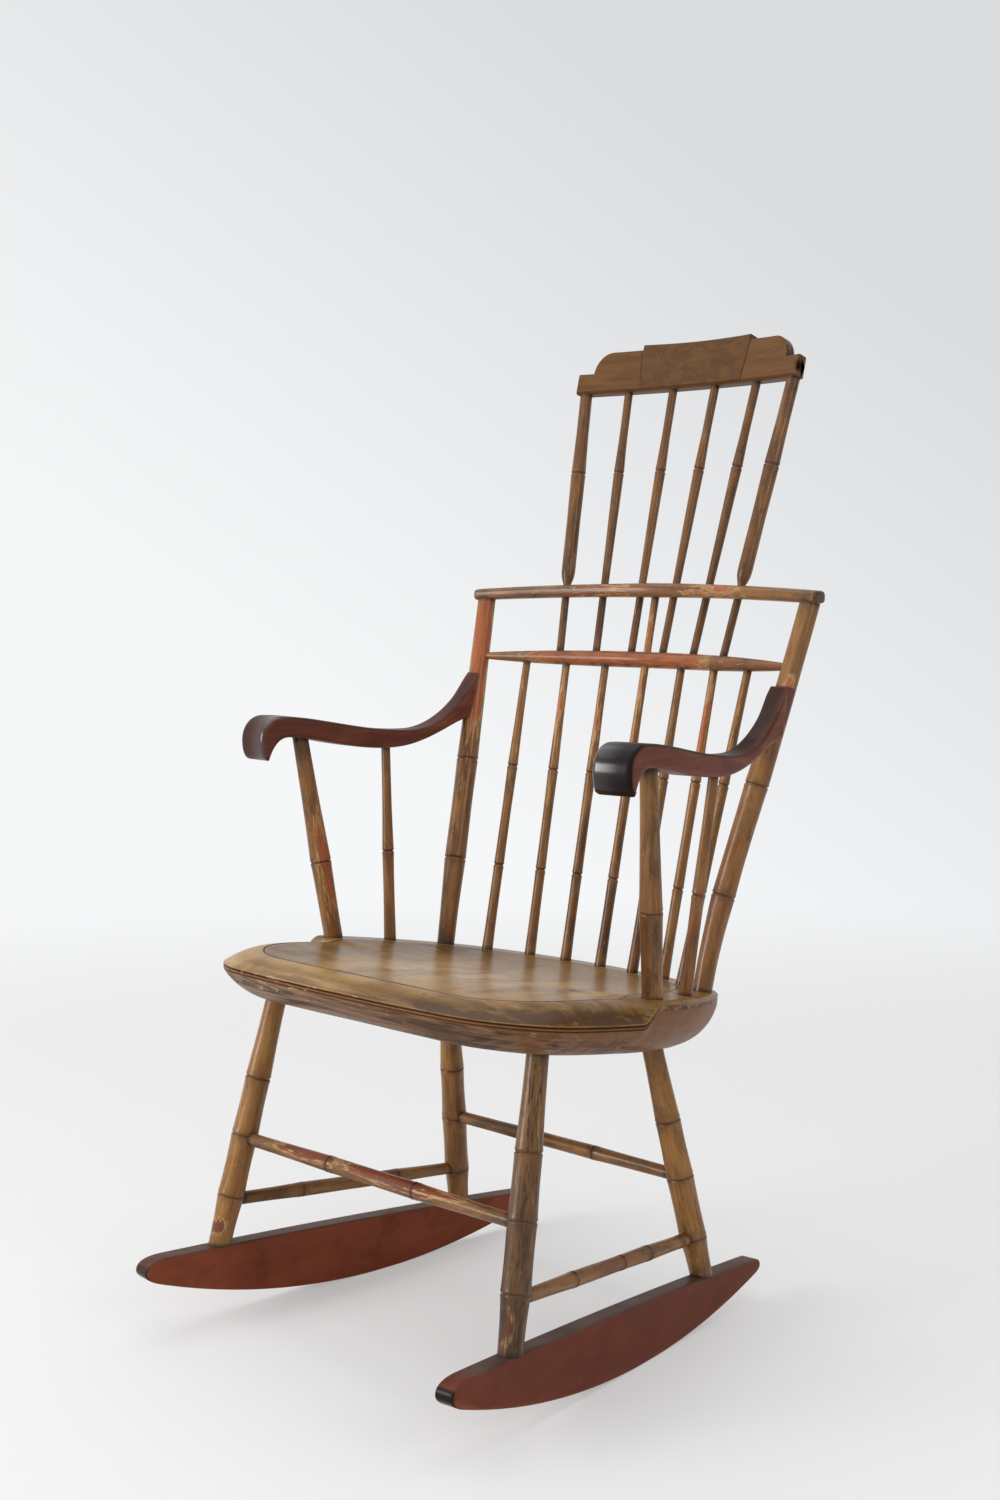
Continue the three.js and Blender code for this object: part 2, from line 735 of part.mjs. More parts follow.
const armTopRear = armCurve([
  [armTopLowShare, armTopDip],
  [armTopRearShares[0], armTopDip],
  [armTopRearShares[1], armRearRise * armRearPullShare],
  [1, armRearRise],
]);
const armUnderRear = armCurve([
  [1, armRearRootRise],
  [armUnderRearShares[0], armRearRootRise * armRootPullShare],
  [armUnderRearShares[1], -armDip],
  [armLowShare, -armDip],
]);
const armUnderFront = armCurve([
  [armLowShare, -armDip],
  [armUnderFrontShares[0], -armDip],
  [armUnderFrontShares[1], armThroatRise * armThroatPullShare],
  [armThroatShare, armThroatRise],
]);

// The scroll, with points as shares of its reach, its drop below and its rise above the arm post
const scrollThroatShare = 0.7;
const scrollTipShare = 0.84;
const scrollLowShares = [0.95, 0.55];
const scrollHighShares = [0.83, 0.6];

function armOutline() {
  const shape = new THREE.Shape();
  const follow = ({ v1, v2, v3 }) => shape.bezierCurveTo(v1.x, v1.y, v2.x, v2.y, v3.x, v3.y);
  const crown = armTopFront.v0;
  shape.moveTo(crown.x, crown.y);
  follow(armTopFront);
  follow(armTopRear);
  shape.lineTo(armEnd, armRearRootRise);
  follow(armUnderRear);
  follow(armUnderFront);
  const tip = -armScrollReach * scrollTipShare;
  shape.quadraticCurveTo(-armScrollReach * scrollThroatShare, armThroatRise, tip, -armScrollDrop);
  shape.bezierCurveTo(
    -armScrollReach * scrollLowShares[0], -armScrollDrop,
    -armScrollReach, -armScrollDrop * scrollLowShares[1],
    -armScrollReach, 0,
  );
  shape.bezierCurveTo(
    -armScrollReach, armFrontRise * scrollHighShares[1],
    -armScrollReach * scrollHighShares[0], armFrontRise,
    crown.x, crown.y,
  );
  return shape;
}

function armWidth(along) {
  return lerp(armWidthFront, armWidthRear, smoothstep(along, 0, armEnd));
}

// The tenon into the back post, level, on the arm's own centre line
const armTenonAlong = armRun - postFlatOffset / Math.cos(degToRad(postLeanAngle));
const armTenonStart = new THREE.Vector3(armTenonAlong - armTenon, armTenonRise, 0).applyMatrix4(armMatrix);
const armTenonSurface = new THREE.Vector3(armTenonAlong, armTenonRise, 0).applyMatrix4(armMatrix);

function arm() {
  const geometry = new THREE.ExtrudeGeometry(armOutline(), {
    depth: armWidthFront - 2 * armEdgeRound,
    bevelThickness: armEdgeRound,
    bevelSize: armEdgeRound,
    bevelOffset: -armEdgeRound,
    bevelSegments: 1,
    curveSegments: curveSteps,
  });
  geometry.translate(0, 0, armEdgeRound - armWidthFront / 2);
  const position = geometry.attributes.position;
  for (let index = 0; index < position.count; index += 1) {
    const narrowing = armWidth(position.getX(index)) / armWidthFront;
    position.setZ(index, position.getZ(index) * narrowing);
  }
  const board = toSolid(geometry.applyMatrix4(armMatrix)).subtract(slabAtPostFlat(-1, fitClearance, 0));
  const tenon = bar(armTenonStart, beyond(armTenonStart, armTenonSurface, armTenon), armTenonRadius);
  return cutAll(board.add(tenon), [
    bore(armFootPoint, armPostTop, armPostArmTenon, armPostTopRadius),
    bore(armSpindleFoot, armSpindleTop, armSpindleArmTenon, armSpindleTopRadius),
  ]);
}

// Arm post and arm spindle, which meets the arm where its underside is lowest
const armPostNodeShare = 0.385;
const armSpindleNodeShare = 0.46;
const armSpindleFoot = onSeat(armSpindleFootX, armSpindleFootV);
const armSpindleTop = new THREE.Vector3(armEnd * armLowShare, -armDip, 0).applyMatrix4(armMatrix);

function armPost() {
  const stations = bamboo(
    [armPostFootRadius, armPostTopRadius],
    [[armPostNodeShare, armPostNodeRadius]],
    thickWaistShare,
  );
  return turning(armFootPoint, armPostTop, stations, [
    { radius: armPostFootRadius, length: armPostSeatTenon },
    { radius: armPostTopRadius, length: armPostArmTenon },
  ], postSides);
}

function armSpindle() {
  const stations = bamboo(
    [armSpindleFootRadius, armSpindleTopRadius],
    [[armSpindleNodeShare, armSpindleNodeRadius]],
    fineWaistShare,
  );
  return turning(armSpindleFoot, armSpindleTop, stations, [
    { radius: armSpindleFootRadius, length: spindleSeatTenon },
    { radius: armSpindleTopRadius, length: armSpindleArmTenon },
  ], spindleSides);
}

// Seat spindles, numbered from the left, with the middle one running on up to the upper rail
const spindleFootShares = [-1, -0.69, -0.345, 0, 0.345, 0.69, 1];
const spindleTopShares = [-1, -0.67, -0.345, 0, 0.345, 0.67, 1];
const spindleSetbackShares = [1, 0.27, 0.08, 0, 0.08, 0.27, 1];
const spindleNodeShares = [0.29, 0.635];
const middleSpindle = 3;

function spindleEnds(index) {
  const footV = spindleFootV - spindleFootSetback * spindleSetbackShares[index];
  const foot = onSeat(spindleFootShares[index] * spindleFootHalfSpan, footV);
  if (index === middleSpindle) {
    const underUpperRail = upperRailMid.z - upperRailMidThickness / 2;
    return { foot, top: atHeight(foot, upperRailMid, underUpperRail) };
  }
  const railCentre = onLowerRail(spindleTopShares[index] * spindleTopHalfSpan);
  const underRail = railCentre.z - lowerRailGirth(railCentre.x).halfThickness;
  return { foot, top: atHeight(foot, railCentre, underRail) };
}

function spindle(index) {
  const { foot, top } = spindleEnds(index);
  const nodes = spindleNodeShares.map((share) => [share, spindleNodeRadius]);
  const turned = bamboo([spindleFootRadius, spindleTopRadius], nodes, fineWaistShare);
  const underRail = lowerRailHeight - lowerRailMidThickness / 2;
  const turnedShare = index === middleSpindle ? (underRail - foot.z) / (top.z - foot.z) : 1;
  const stations = turned.map(([share, ...rest]) => [share * turnedShare, ...rest]);
  if (index === middleSpindle) stations.push([1, spindleTopRadius]);
  return turning(foot, top, stations, [
    { radius: spindleFootRadius, length: spindleSeatTenon },
    { radius: spindleTopRadius, length: spindleRailTenon },
  ], spindleSides);
}

// Comb: two posts and four spindles from the lower rail, through the upper rail, to the crest
const combFootShares = [-1, -0.594, -0.192, 0.192, 0.594, 1];
const combTopShares = [-1, -0.618, -0.203, 0.203, 0.618, 1];
const combNodeShare = 0.58;
const combPostSwellShare = 0.75;
const combPostNeckShare = 0.5;
const combSpindleNeckShare = 0.4;
const combCount = combFootShares.length;

function isCombPost(index) {
  return index === 0 || index === combCount - 1;
}

function combEnds(index) {
  const railCentre = onLowerRail(combFootShares[index] * combFootHalfSpan);
  const top = onCrest(combTopShares[index] * combTopHalfSpan);
  const railTop = railCentre.z + lowerRailGirth(railCentre.x).halfThickness;
  return { foot: atHeight(railCentre, top, railTop), top };
}

function combTenonRadius(index) {
  return isCombPost(index) ? combPostTenonRadius : combSpindleTopRadius;
}

function combUpright(index) {
  const { foot, top } = combEnds(index);
  const shareAt = (height) => (height - foot.z) / (top.z - foot.z);
  const clearOfRail = upperRailTopAtComb + 2 * fitClearance;
  const node = shareAt(lerp(upperRailTopAtComb, crestBottomHeight, combNodeShare));
  const swellRadius = lerp(combFootRadius, combPostBulgeRadius, combPostSwellShare);
  const stations = isCombPost(index) ? [
    [0, combFootRadius],
    [shareAt(clearOfRail), combFootRadius],
    [shareAt(upperRailTopAtComb + combPostBulgeRise / 2), swellRadius],
    [shareAt(upperRailTopAtComb + combPostBulgeRise), combPostBulgeRadius],
    [node, combPostNodeRadius, true],
    [lerp(node, 1, combPostNeckShare), combPostTopRadius],
    [1, combPostTopRadius],
  ] : [
    [0, combFootRadius],
    [shareAt(clearOfRail), combFootRadius],
    [node, combSpindleNodeRadius, true],
    [lerp(node, 1, combSpindleNeckShare), combSpindleTopRadius],
    [1, combSpindleTopRadius],
  ];
  return turning(foot, top, stations, [
    { radius: combFootRadius, length: combRailTenon },
    { radius: combTenonRadius(index), length: combCrestTenon },
  ], spindleSides);
}

// Crest: a bowed board with end blocks, quarter rounds, shoulders and a raised middle tablet
function crestHeight(x) {
  const fromMiddle = Math.abs(x);
  const roundStart = crestHalfLength - crestEndBlockLength - crestRoundLength;
  if (fromMiddle <= crestTabletHalfLength) return crestTabletHeight;
  if (fromMiddle <= roundStart) return crestShoulderHeight;
  const share = clamp((fromMiddle - roundStart) / crestRoundLength, 0, 1);
  return lerp(crestEndHeight, crestShoulderHeight, Math.sqrt(1 - share * share));
}

function crestStations() {
  const roundStart = crestHalfLength - crestEndBlockLength - crestRoundLength;
  const half = [];
  for (let step = 0; step <= crestTabletSteps; step += 1) {
    half.push(crestTabletHalfLength * step / crestTabletSteps);
  }
  half.push(crestTabletHalfLength + crestStepRun, roundStart);
  for (let step = 1; step <= curveSteps; step += 1) {
    half.push(roundStart + crestRoundLength * Math.sin(step / curveSteps * Math.PI / 2));
  }
  half.push(crestHalfLength);
  return [...half.slice(1).reverse().map((x) => -x), ...half];
}

function crest() {
  const lean = degToRad(combLeanAngle);
  const up = new THREE.Vector3(0, Math.sin(lean), Math.cos(lean));
  const front = new THREE.Vector3(0, -Math.cos(lean), Math.sin(lean));
  const halfThick = crestThickness / 2;
  const rings = crestStations().map((x) => {
    const height = crestHeight(x);
    const section = [
      [0, -halfThick],
      [0, halfThick - crestUnderChamfer],
      [crestUnderChamfer, halfThick],
      [height, halfThick],
      [height, -halfThick],
    ];
    return section.map(([rise, out]) => (
      onCrest(x).addScaledVector(up, rise).addScaledVector(front, out)
    ));
  });
  const sockets = combFootShares.flatMap((share, index) => {
    const { foot, top } = combEnds(index);
    const socket = bore(foot, top, combCrestTenon, combTenonRadius(index));
    return isCombPost(index) ? [socket, bore(foot, top, 0, combPostTopRadius)] : [socket];
  });
  return cutAll(loft(rings), sockets);
}

// Seat outline seen square to the deck, from the front middle round to the rear middle
const seatOutlineShares = [
  [0, -1], [0.42, -0.985], [0.73, -0.925], [0.93, -0.72], [1, -0.38],
  [0.99, 0.05], [0.9, 0.43], [0.74, 0.74], [0.42, 0.93], [0, 1],
];
// The rounded side below the edge: how far down to the underside, then how far in at the deck and front
const seatSideShares = [
  [0.12, 0.01, 0.05], [0.3, 0.06, 0.14], [0.55, 0.2, 0.31], [0.8, 0.47, 0.6], [1, 1, 1],
];
const seatDishShares = [0.4, 0.7, 0.9, 1];
const seatRimShares = [1, 0.7, 0.35];
const dishExponent = 3;
const lipExponent = 3;
const rimExponent = 1.8;

// Adds a point to an outline wherever it crosses a line across the seat
function crossedAt(outline, v) {
  return outline.flatMap((point, index) => {
    const next = outline[(index + 1) % outline.length];
    if ((point.y - v) * (next.y - v) >= 0) return [point];
    return [point, partWay(point, next, (v - point.y) / (next.y - point.y))];
  });
}

const lipStartV = -seatDeckFrontEnd - seatDeckStepLength;
function seatOutline() {
  const placed = ([across, along]) => new THREE.Vector3(
    across * seatHalfWidth,
    along * (along < 0 ? seatFrontReach : seatRearReach),
    0,
  );
  const right = seatOutlineShares.map(placed);
  const left = right.slice(1, -1).reverse().map(({ x, y }) => new THREE.Vector3(-x, y, 0));
  const curve = new THREE.CatmullRomCurve3([...right, ...left], true, 'centripetal');
  const outline = curve.getSpacedPoints(seatSteps).slice(0, -1);
  const crossings = [];
  for (let step = 0; step <= lipCrossings; step += 1) {
    crossings.push(lerp(lipStartV, -seatDeckFrontEnd, step / lipCrossings));
  }
  return crossings.reduce(crossedAt, outline);
}

// Depths below the deck: 1 along the rolled front, 0 on the raised deck behind it
function lipShare(point) {
  return 1 - smoothstep(point.y, lipStartV, -seatDeckFrontEnd);
}

function topDepth(place, point, share) {
  const run = seatFrontReach - seatRimWidth - seatFallStart;
  const fall = seatFrontFall * Math.max(0, (-place.y - seatFallStart) / run) ** 2;
  return fall + seatLipStep * lipShare(point) * share ** lipExponent;
}

function rimDepth(place, point, inset) {
  const share = 1 - inset / seatRimWidth;
  const forward = clamp((lipStartV - point.y) / (seatFrontReach + lipStartV), 0, 1);
  const lip = lerp(seatLipSideDrop, seatLipDrop, forward);
  const inner = topDepth(point.clone().multiplyScalar(1 - seatRimWidth / point.length()), point, 1);
  const rounded = Math.max(0, seatEdgeRound - inset);
  return lerp(rounded, lerp(inner, lip, share ** rimExponent), lipShare(point));
}

function seatBody() {
  const outline = seatOutline();
  const ring = (insetOf, depthOf) => outline.map((point) => {
    const inset = insetOf(point);
    const place = point.clone().multiplyScalar(1 - inset / point.length());
    return onSeat(place.x, place.y, -depthOf(place, point, inset));
  });
  const dishRim = seatRimWidth + seatGrooveWidth;
  const dishRing = (share) => ring(
    (point) => point.length() - (point.length() - dishRim) * share,
    (place, point) => topDepth(place, point, share) + seatDishDepth * (1 - share ** dishExponent),
  );
  const grooveRing = (inset, depth) => ring(
    () => inset,
    (place, point) => topDepth(place, point, 1) + depth,
  );
  const edgeRing = (inset, below) => ring(
    (point) => inset * lipShare(point),
    (place, point) => rimDepth(point, point, 0) + below,
  );
  const sideRing = ([down, inwardAtDeck, inwardAtFront]) => ring(
    (point) => seatUnderReach * lerp(inwardAtDeck, inwardAtFront, lipShare(point)),
    (place, point) => lerp(rimDepth(point, point, 0) + seatQuirkHeight, seatThickness, down),
  );
  return loft([
    ...seatDishShares.map(dishRing),
    grooveRing(seatRimWidth + seatGrooveWidth / 2, seatGrooveDepth),
    ...seatRimShares.map((share) => ring(() => seatRimWidth * share, rimDepth)),
    ring(() => seatEdgeRound, rimDepth),
    ring(() => 0, rimDepth),
    edgeRing(seatQuirkDepth, seatQuirkHeight / 2),
    edgeRing(0, seatQuirkHeight),
    ...seatSideShares.map(sideRing),
  ]);
}

// Joints are cut last, from the same lines that place the sticks
function seat() {
  const rightSockets = [
    bore(frontFoot, frontLegTop, legSeatTenon, legTopRadius),
    bore(rearFoot, rearLegTop, legSeatTenon, legTopRadius),
    bore(postFootAim, postFoot, postSeatTenon + postFootRelief, postFootRadius),
    bore(armPostTop, armFootPoint, armPostSeatTenon, armPostFootRadius),
    bore(armSpindleTop, armSpindleFoot, spindleSeatTenon, armSpindleFootRadius),
  ];
  const spindleSockets = spindleFootShares.map((share, index) => {
    const { foot, top } = spindleEnds(index);
    return bore(top, foot, spindleSeatTenon, spindleFootRadius);
  });
  const cutters = [...rightSockets, ...rightSockets.map(mirrored), ...spindleSockets];
  return cutAll(seatBody(), cutters);
}

function lowerRail() {
  const sockets = spindleFootShares.map((share, index) => {
    const { foot, top } = spindleEnds(index);
    if (index === middleSpindle) {
      const middle = atHeight(foot, top, lowerRailHeight);
      return bore(foot, middle, lowerRailMidThickness, spindleTopRadius);
    }
    return bore(foot, top, spindleRailTenon, spindleTopRadius);
  });
  const combSockets = combFootShares.map((share, index) => {
    const { foot, top } = combEnds(index);
    return bore(top, foot, combRailTenon, combFootRadius);
  });
  return cutAll(lowerRailBody(), [...sockets, ...combSockets]);
}

function upperRail() {
  const middle = spindleEnds(middleSpindle);
  const combHoles = combFootShares.map((share, index) => {
    const { foot, top } = combEnds(index);
    const through = atHeight(foot, top, upperRailHeight);
    return bore(foot, through, boreOverrun, combFootRadius);
  });
  const postSocket = bore(postFoot, postShoulder, postTopTenon, postTopTenonRadius);
  return cutAll(upperRailBody(), [
    bore(middle.foot, middle.top, spindleRailTenon, spindleTopRadius),
    postSocket,
    mirrored(postSocket),
    ...combHoles,
  ]);
}

function rocker() {
  return cutAll(rockerBlank(), [
    bore(frontLegTop, frontFoot, legFootTenon, legFootTenonRadius),
    bore(rearLegTop, rearFoot, legFootTenon, legFootTenonRadius),
  ]);
}

function frontLeg() {
  return cutAll(leg(frontFoot, frontLegTop, frontNodeShares), [
    stretcherBore(mirrorAcross(frontMeet), frontMeet),
    stretcherBore(sideRearMeet, sideFrontMeet),
  ]);
}

function rearLeg() {
  return cutAll(leg(rearFoot, rearLegTop, rearNodeShares), [
    stretcherBore(mirrorAcross(rearMeet), rearMeet),
    stretcherBore(sideFrontMeet, sideRearMeet),
  ]);
}

function frontStretcher() {
  return stretcher(mirrorAcross(frontMeet), frontMeet, crossStretcherNodeShares, frontStretcherRadius);
}

function rearStretcher() {
  return stretcher(mirrorAcross(rearMeet), rearMeet, crossStretcherNodeShares, rearStretcherRadius);
}

function sideStretcher() {
  return stretcher(sideFrontMeet, sideRearMeet, sideStretcherNodeShares, sideStretcherRadius);
}

// Painted finishes
const paint = (color, roughness) => new THREE.MeshStandardMaterial({ color, roughness, metalness: 0 });
const paints = {
  turning: paint(0x8a6437, 0.55),
  seat: paint(0x7d6a4c, 0.6),
  rocker: paint(0x6a3a2c, 0.5),
  rail: paint(0x76502f, 0.5),
  arm: paint(0x55301c, 0.4),
  crest: paint(0x6b4930, 0.5),
};

// The whole chair, with its bounding box centred over the origin
const chair = new THREE.Group();

function place(name, solid, finish) {
  const mesh = new THREE.Mesh(toGeometry(solid), finish);
  mesh.name = name;
  chair.add(mesh);
}

function placePair(name, solid, finish) {
  place(`${name}_right`, solid, finish);
  place(`${name}_left`, mirrored(solid), finish);
}

place('seat', seat(), paints.seat);
placePair('rocker', rocker(), paints.rocker);
placePair('leg_front', frontLeg(), paints.turning);
placePair('leg_rear', rearLeg(), paints.turning);
place('stretcher_front', frontStretcher(), paints.turning);
place('stretcher_rear', rearStretcher(), paints.turning);
placePair('stretcher_side', sideStretcher(), paints.turning);
placePair('back_post', backPost(), paints.turning);
place('upper_rail', upperRail(), paints.rail);
place('lower_rail', lowerRail(), paints.rail);
spindleFootShares.forEach((share, index) => {
  place(`seat_spindle_${index + 1}`, spindle(index), paints.turning);
});
combFootShares.forEach((share, index) => {
  const name = isCombPost(index) ? `comb_post_${share < 0 ? 'left' : 'right'}` : `comb_spindle_${index}`;
  place(name, combUpright(index), paints.turning);
});
place('crest', crest(), paints.crest);
placePair('arm', arm(), paints.arm);
placePair('arm_post', armPost(), paints.turning);
placePair('arm_spindle', armSpindle(), paints.turning);

const bounds = new THREE.Box3().setFromObject(chair);
chair.position.y = -(bounds.min.y + bounds.max.y) / 2;
chair.position.z = -bounds.min.z;

export default chair;
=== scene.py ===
import math
import bmesh
import bpy
import numpy as np
from mathutils import Matrix, Vector
from mathutils.geometry import delaunay_2d_cdt


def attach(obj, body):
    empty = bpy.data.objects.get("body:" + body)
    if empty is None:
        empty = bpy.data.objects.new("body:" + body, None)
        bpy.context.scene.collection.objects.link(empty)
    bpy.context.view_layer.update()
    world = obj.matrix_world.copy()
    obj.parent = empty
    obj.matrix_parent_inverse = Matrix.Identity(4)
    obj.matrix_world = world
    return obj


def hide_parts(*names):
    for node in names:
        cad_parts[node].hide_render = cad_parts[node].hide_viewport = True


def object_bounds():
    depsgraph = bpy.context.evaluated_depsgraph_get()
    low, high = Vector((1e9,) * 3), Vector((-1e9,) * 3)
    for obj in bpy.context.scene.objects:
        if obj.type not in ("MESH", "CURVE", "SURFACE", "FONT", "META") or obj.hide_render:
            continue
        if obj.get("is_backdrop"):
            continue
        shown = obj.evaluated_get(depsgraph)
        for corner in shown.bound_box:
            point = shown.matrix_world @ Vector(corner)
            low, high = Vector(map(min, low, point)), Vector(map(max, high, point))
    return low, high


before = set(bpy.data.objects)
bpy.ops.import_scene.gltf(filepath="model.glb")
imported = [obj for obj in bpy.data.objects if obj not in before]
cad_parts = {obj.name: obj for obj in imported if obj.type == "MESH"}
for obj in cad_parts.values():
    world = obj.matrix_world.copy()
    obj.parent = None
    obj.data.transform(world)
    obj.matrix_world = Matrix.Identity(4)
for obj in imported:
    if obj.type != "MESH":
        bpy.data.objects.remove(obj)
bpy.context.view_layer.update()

# The chair is laid out in millimetres over its own plan origin, as in the CAD, then moved and scaled
MM = 0.001
SHIFT_Y = -43.195


def lerp(a, b, t):
    return a + (b - a) * t


def smooth(x, low, high):
    t = np.clip((x - low) / (high - low), 0, 1)
    return t * t * (3 - 2 * t)


def vec(*xyz):
    return np.array(xyz, float)


def unit(v):
    return v / np.linalg.norm(v)


def at_height(a, b, height):
    return lerp(a, b, (height - a[2]) / (b[2] - a[2]))


def places(x, y, z):
    return np.stack(np.broadcast_arrays(x, y, z), -1)


def mirror(p):
    return p * vec(-1, 1, 1)


def bump_at(x, centre, width):
    return np.exp(-(((x - centre) / width) ** 2))


# Sizes shared with the CAD source
SEAT_HEIGHT, SEAT_TILT = 412, math.radians(8.8)
SEAT_HALF_WIDTH, SEAT_FRONT, SEAT_REAR = 270, 236, 229
SEAT_THICKNESS, DISH_DEPTH, FRONT_FALL, FALL_START = 62, 9, 8.5, 60
RIM, LIP_DROP, LIP_SIDE_DROP, LIP_STEP, EDGE_ROUND = 43, 29, 24, 4.5, 3
GROOVE, DECK_END, DECK_STEP, UNDER_REACH = 4, 20, 28, 49
ROCKER_THICK, ROCKER_FRONT, ROCKER_REAR = 22, 105, 116
SOLE_RADIUS, CONTACT_Y, FLAT = 900, 25, 40
TOP_FRONT, TOP_REAR, TOP_CROWN, NOSE, TAIL = 89, 46, 4, 15, 12
FRONT_FOOT, REAR_FOOT = (230, -209), (195, 150)
POST_LEAN, POST_SPLAY = math.radians(16.5), math.radians(6.55)
UPPER_RAIL_Z, UPPER_BOW, UPPER_ARCH = 831, 37, 6
LOWER_RAIL_Z, CREST_Z = 751.5, 1089
CREST_BOW, COMB_FOOT_X, COMB_TOP_X = 19, 127.7, 162
CREST_THICK, CREST_HEIGHT, SHOULDER_HEIGHT, EAR_HEIGHT = 17, 61, 54, 26.5
TABLET_HALF, SHOULDER_AT, EAR_AT, CREST_END = 83, 127, 150, 172
POST_FLAT_OFFSET = 10
ARM_Z, ARM_FRONT_WIDTH, ARM_REAR_WIDTH = 659, 48, 25
ARM_LOW_AT, ARM_LOW, ARM_SCROLL_TOP, ARM_CURL, ARM_NOSE = 0.45, -17.5, 29.5, (-58.8, -22.5), -70
SEAT_SPINDLES, COMB_STICKS = 7, 6
LEG_RADIUS, POST_HEAD, SPINDLE_FOOT_RADIUS, SPINDLE_HEAD = 15.6, 11.5, 6.9, 4.9
COMB_TENON, COMB_HEAD, COMB_POST_HEAD = 4.8, 5.3, 7.9
COMB_POSTS = (0, COMB_STICKS - 1)

# Share of the radius that a turning keeps half way between two of its rings
STOUT_WAIST, SLIM_WAIST = 0.955, 0.93

# Each side of the chair, with whether it is the mirrored one
SIDES = (("right", False), ("left", True))


def on_seat(u, v, w=0.0):
    c, s = math.cos(SEAT_TILT), math.sin(SEAT_TILT)
    return places(np.asarray(u, float), v * c + w * s, SEAT_HEIGHT - v * s + w * c)


def leaning(p, height, lean, splay):
    rise = height - p[2]
    return vec(p[0] + math.tan(splay) * rise, p[1] + math.tan(lean) * rise, height)


def bow(share):
    return (np.hypot(share, 0.3) - 0.3) / (math.hypot(1, 0.3) - 0.3)


post_foot = on_seat(203, 138)
post_top = leaning(post_foot, UPPER_RAIL_Z, POST_LEAN, POST_SPLAY)
post_low = at_height(post_foot, post_top, LOWER_RAIL_Z)
upper_mid = vec(0, post_top[1] + UPPER_BOW, UPPER_RAIL_Z + UPPER_ARCH)
lower_mid = at_height(on_seat(0, 201), upper_mid, LOWER_RAIL_Z)


def on_upper(x):
    share = np.abs(x) / post_top[0]
    return places(x, upper_mid[1] - UPPER_BOW * bow(share), upper_mid[2] - UPPER_ARCH * share**2)


def on_lower(x):
    fall = lower_mid[1] - post_low[1]
    return places(x, lower_mid[1] - fall * bow(np.abs(x) / post_low[0]), LOWER_RAIL_Z)


crest_lean = math.radians(15)
crest_mid_y = on_lower(COMB_FOOT_X)[1] + math.tan(crest_lean) * (CREST_Z - LOWER_RAIL_Z) + CREST_BOW


def on_crest(x):
    return places(x, crest_mid_y - CREST_BOW * (x / COMB_TOP_X) ** 2, CREST_Z)


# Rocker lines
foot_run = REAR_FOOT[1] - FRONT_FOOT[1]
toe_in = math.atan2(FRONT_FOOT[0] - REAR_FOOT[0], foot_run)
leg_spacing = math.hypot(FRONT_FOOT[0] - REAR_FOOT[0], foot_run)
contact = (CONTACT_Y - FRONT_FOOT[1]) / math.cos(toe_in)
sole_centre = math.sqrt(SOLE_RADIUS**2 - (FLAT / 2) ** 2)


def rocker_top(along):
    share = (along + ROCKER_FRONT) / (leg_spacing + ROCKER_REAR + ROCKER_FRONT)
    return lerp(TOP_FRONT, TOP_REAR, share) + TOP_CROWN * 4 * share * (1 - share)


def sole(along):
    round_sole = sole_centre - np.sqrt(SOLE_RADIUS**2 - (along - contact) ** 2)
    return np.where(np.abs(along - contact) < FLAT / 2, 0.0, round_sole)


def rocker_place(along, height, across):
    c, s = math.cos(toe_in), math.sin(toe_in)
    return places(FRONT_FOOT[0] - along * s + across * c, FRONT_FOOT[1] + along * c + across * s, height)


front_foot = vec(*FRONT_FOOT, rocker_top(0))
rear_foot = vec(*REAR_FOOT, rocker_top(leg_spacing))
front_leg_top = on_seat(204, -132, -SEAT_THICKNESS)
rear_leg_top = on_seat(160, 109, -SEAT_THICKNESS)


# Meshes

def add_object(name, data):
    item = bpy.data.objects.new(name, data)
    bpy.context.scene.collection.objects.link(item)
    return item


def piece(name, points, faces, marks, material, nodes, sharp):
    """An object from points in millimetres, with its marks kept as attributes"""
    place = (np.asarray(points, float) + vec(0, SHIFT_Y, 0)) * MM
    mesh = bpy.data.meshes.new(name)
    mesh.from_pydata(place.tolist(), [], [list(map(int, f)) for f in faces])
    for key, value in marks.items():
        value = np.asarray(value, np.float32)
        kind, field = ("FLOAT_VECTOR", "vector") if value.ndim == 2 else ("FLOAT", "value")
        mesh.attributes.new(key, kind, "POINT").data.foreach_set(field, value.ravel())
    work = bmesh.new()
    work.from_mesh(mesh)
    bmesh.ops.recalc_face_normals(work, faces=work.faces)
    for edge in work.edges:
        edge.smooth = edge.calc_face_angle(0) < math.radians(sharp)
    for face in work.faces:
        face.smooth = True
    work.to_mesh(mesh)
    work.free()
    mesh.materials.append(material)
    item = add_object(name, mesh)
    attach(item, "root")
    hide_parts(*nodes)


def tube_faces(rings, size):
    ring, step = np.meshgrid(np.arange(rings - 1), np.arange(size), indexing="ij")
    a = ring * size + step
    b = ring * size + (step + 1) % size
    faces = np.stack([a, b, b + size, a + size], -1).reshape(-1, 4).tolist()
    return faces + [list(range(size))[::-1], list(range((rings - 1) * size, rings * size))]


def bamboo(marks, waist):
    """Radius along a turning whose marks are (share, radius), with a hollow between each two"""
    shares, radii = np.array(marks, float).T

    def radius(share):
        share = np.clip(share, 0, 1)
        index = np.clip(np.searchsorted(shares, share, "right") - 1, 0, len(shares) - 2)
        s0, s1, r0, r1 = shares[index], shares[index + 1], radii[index], radii[index + 1]
        t = (share - s0) / (s1 - s0)
        hollow = (r0 + r1) / 2 * (1 - waist)
        return lerp(r0, r1, t) - hollow * (1 - np.abs(2 * t - 1) ** 1.7)

    return radius


def shaped(marks):
    """Radius along a plain turning, straight between its marks"""
    shares, radii = np.array(marks, float).T
    return lambda share: np.interp(share, shares, radii)


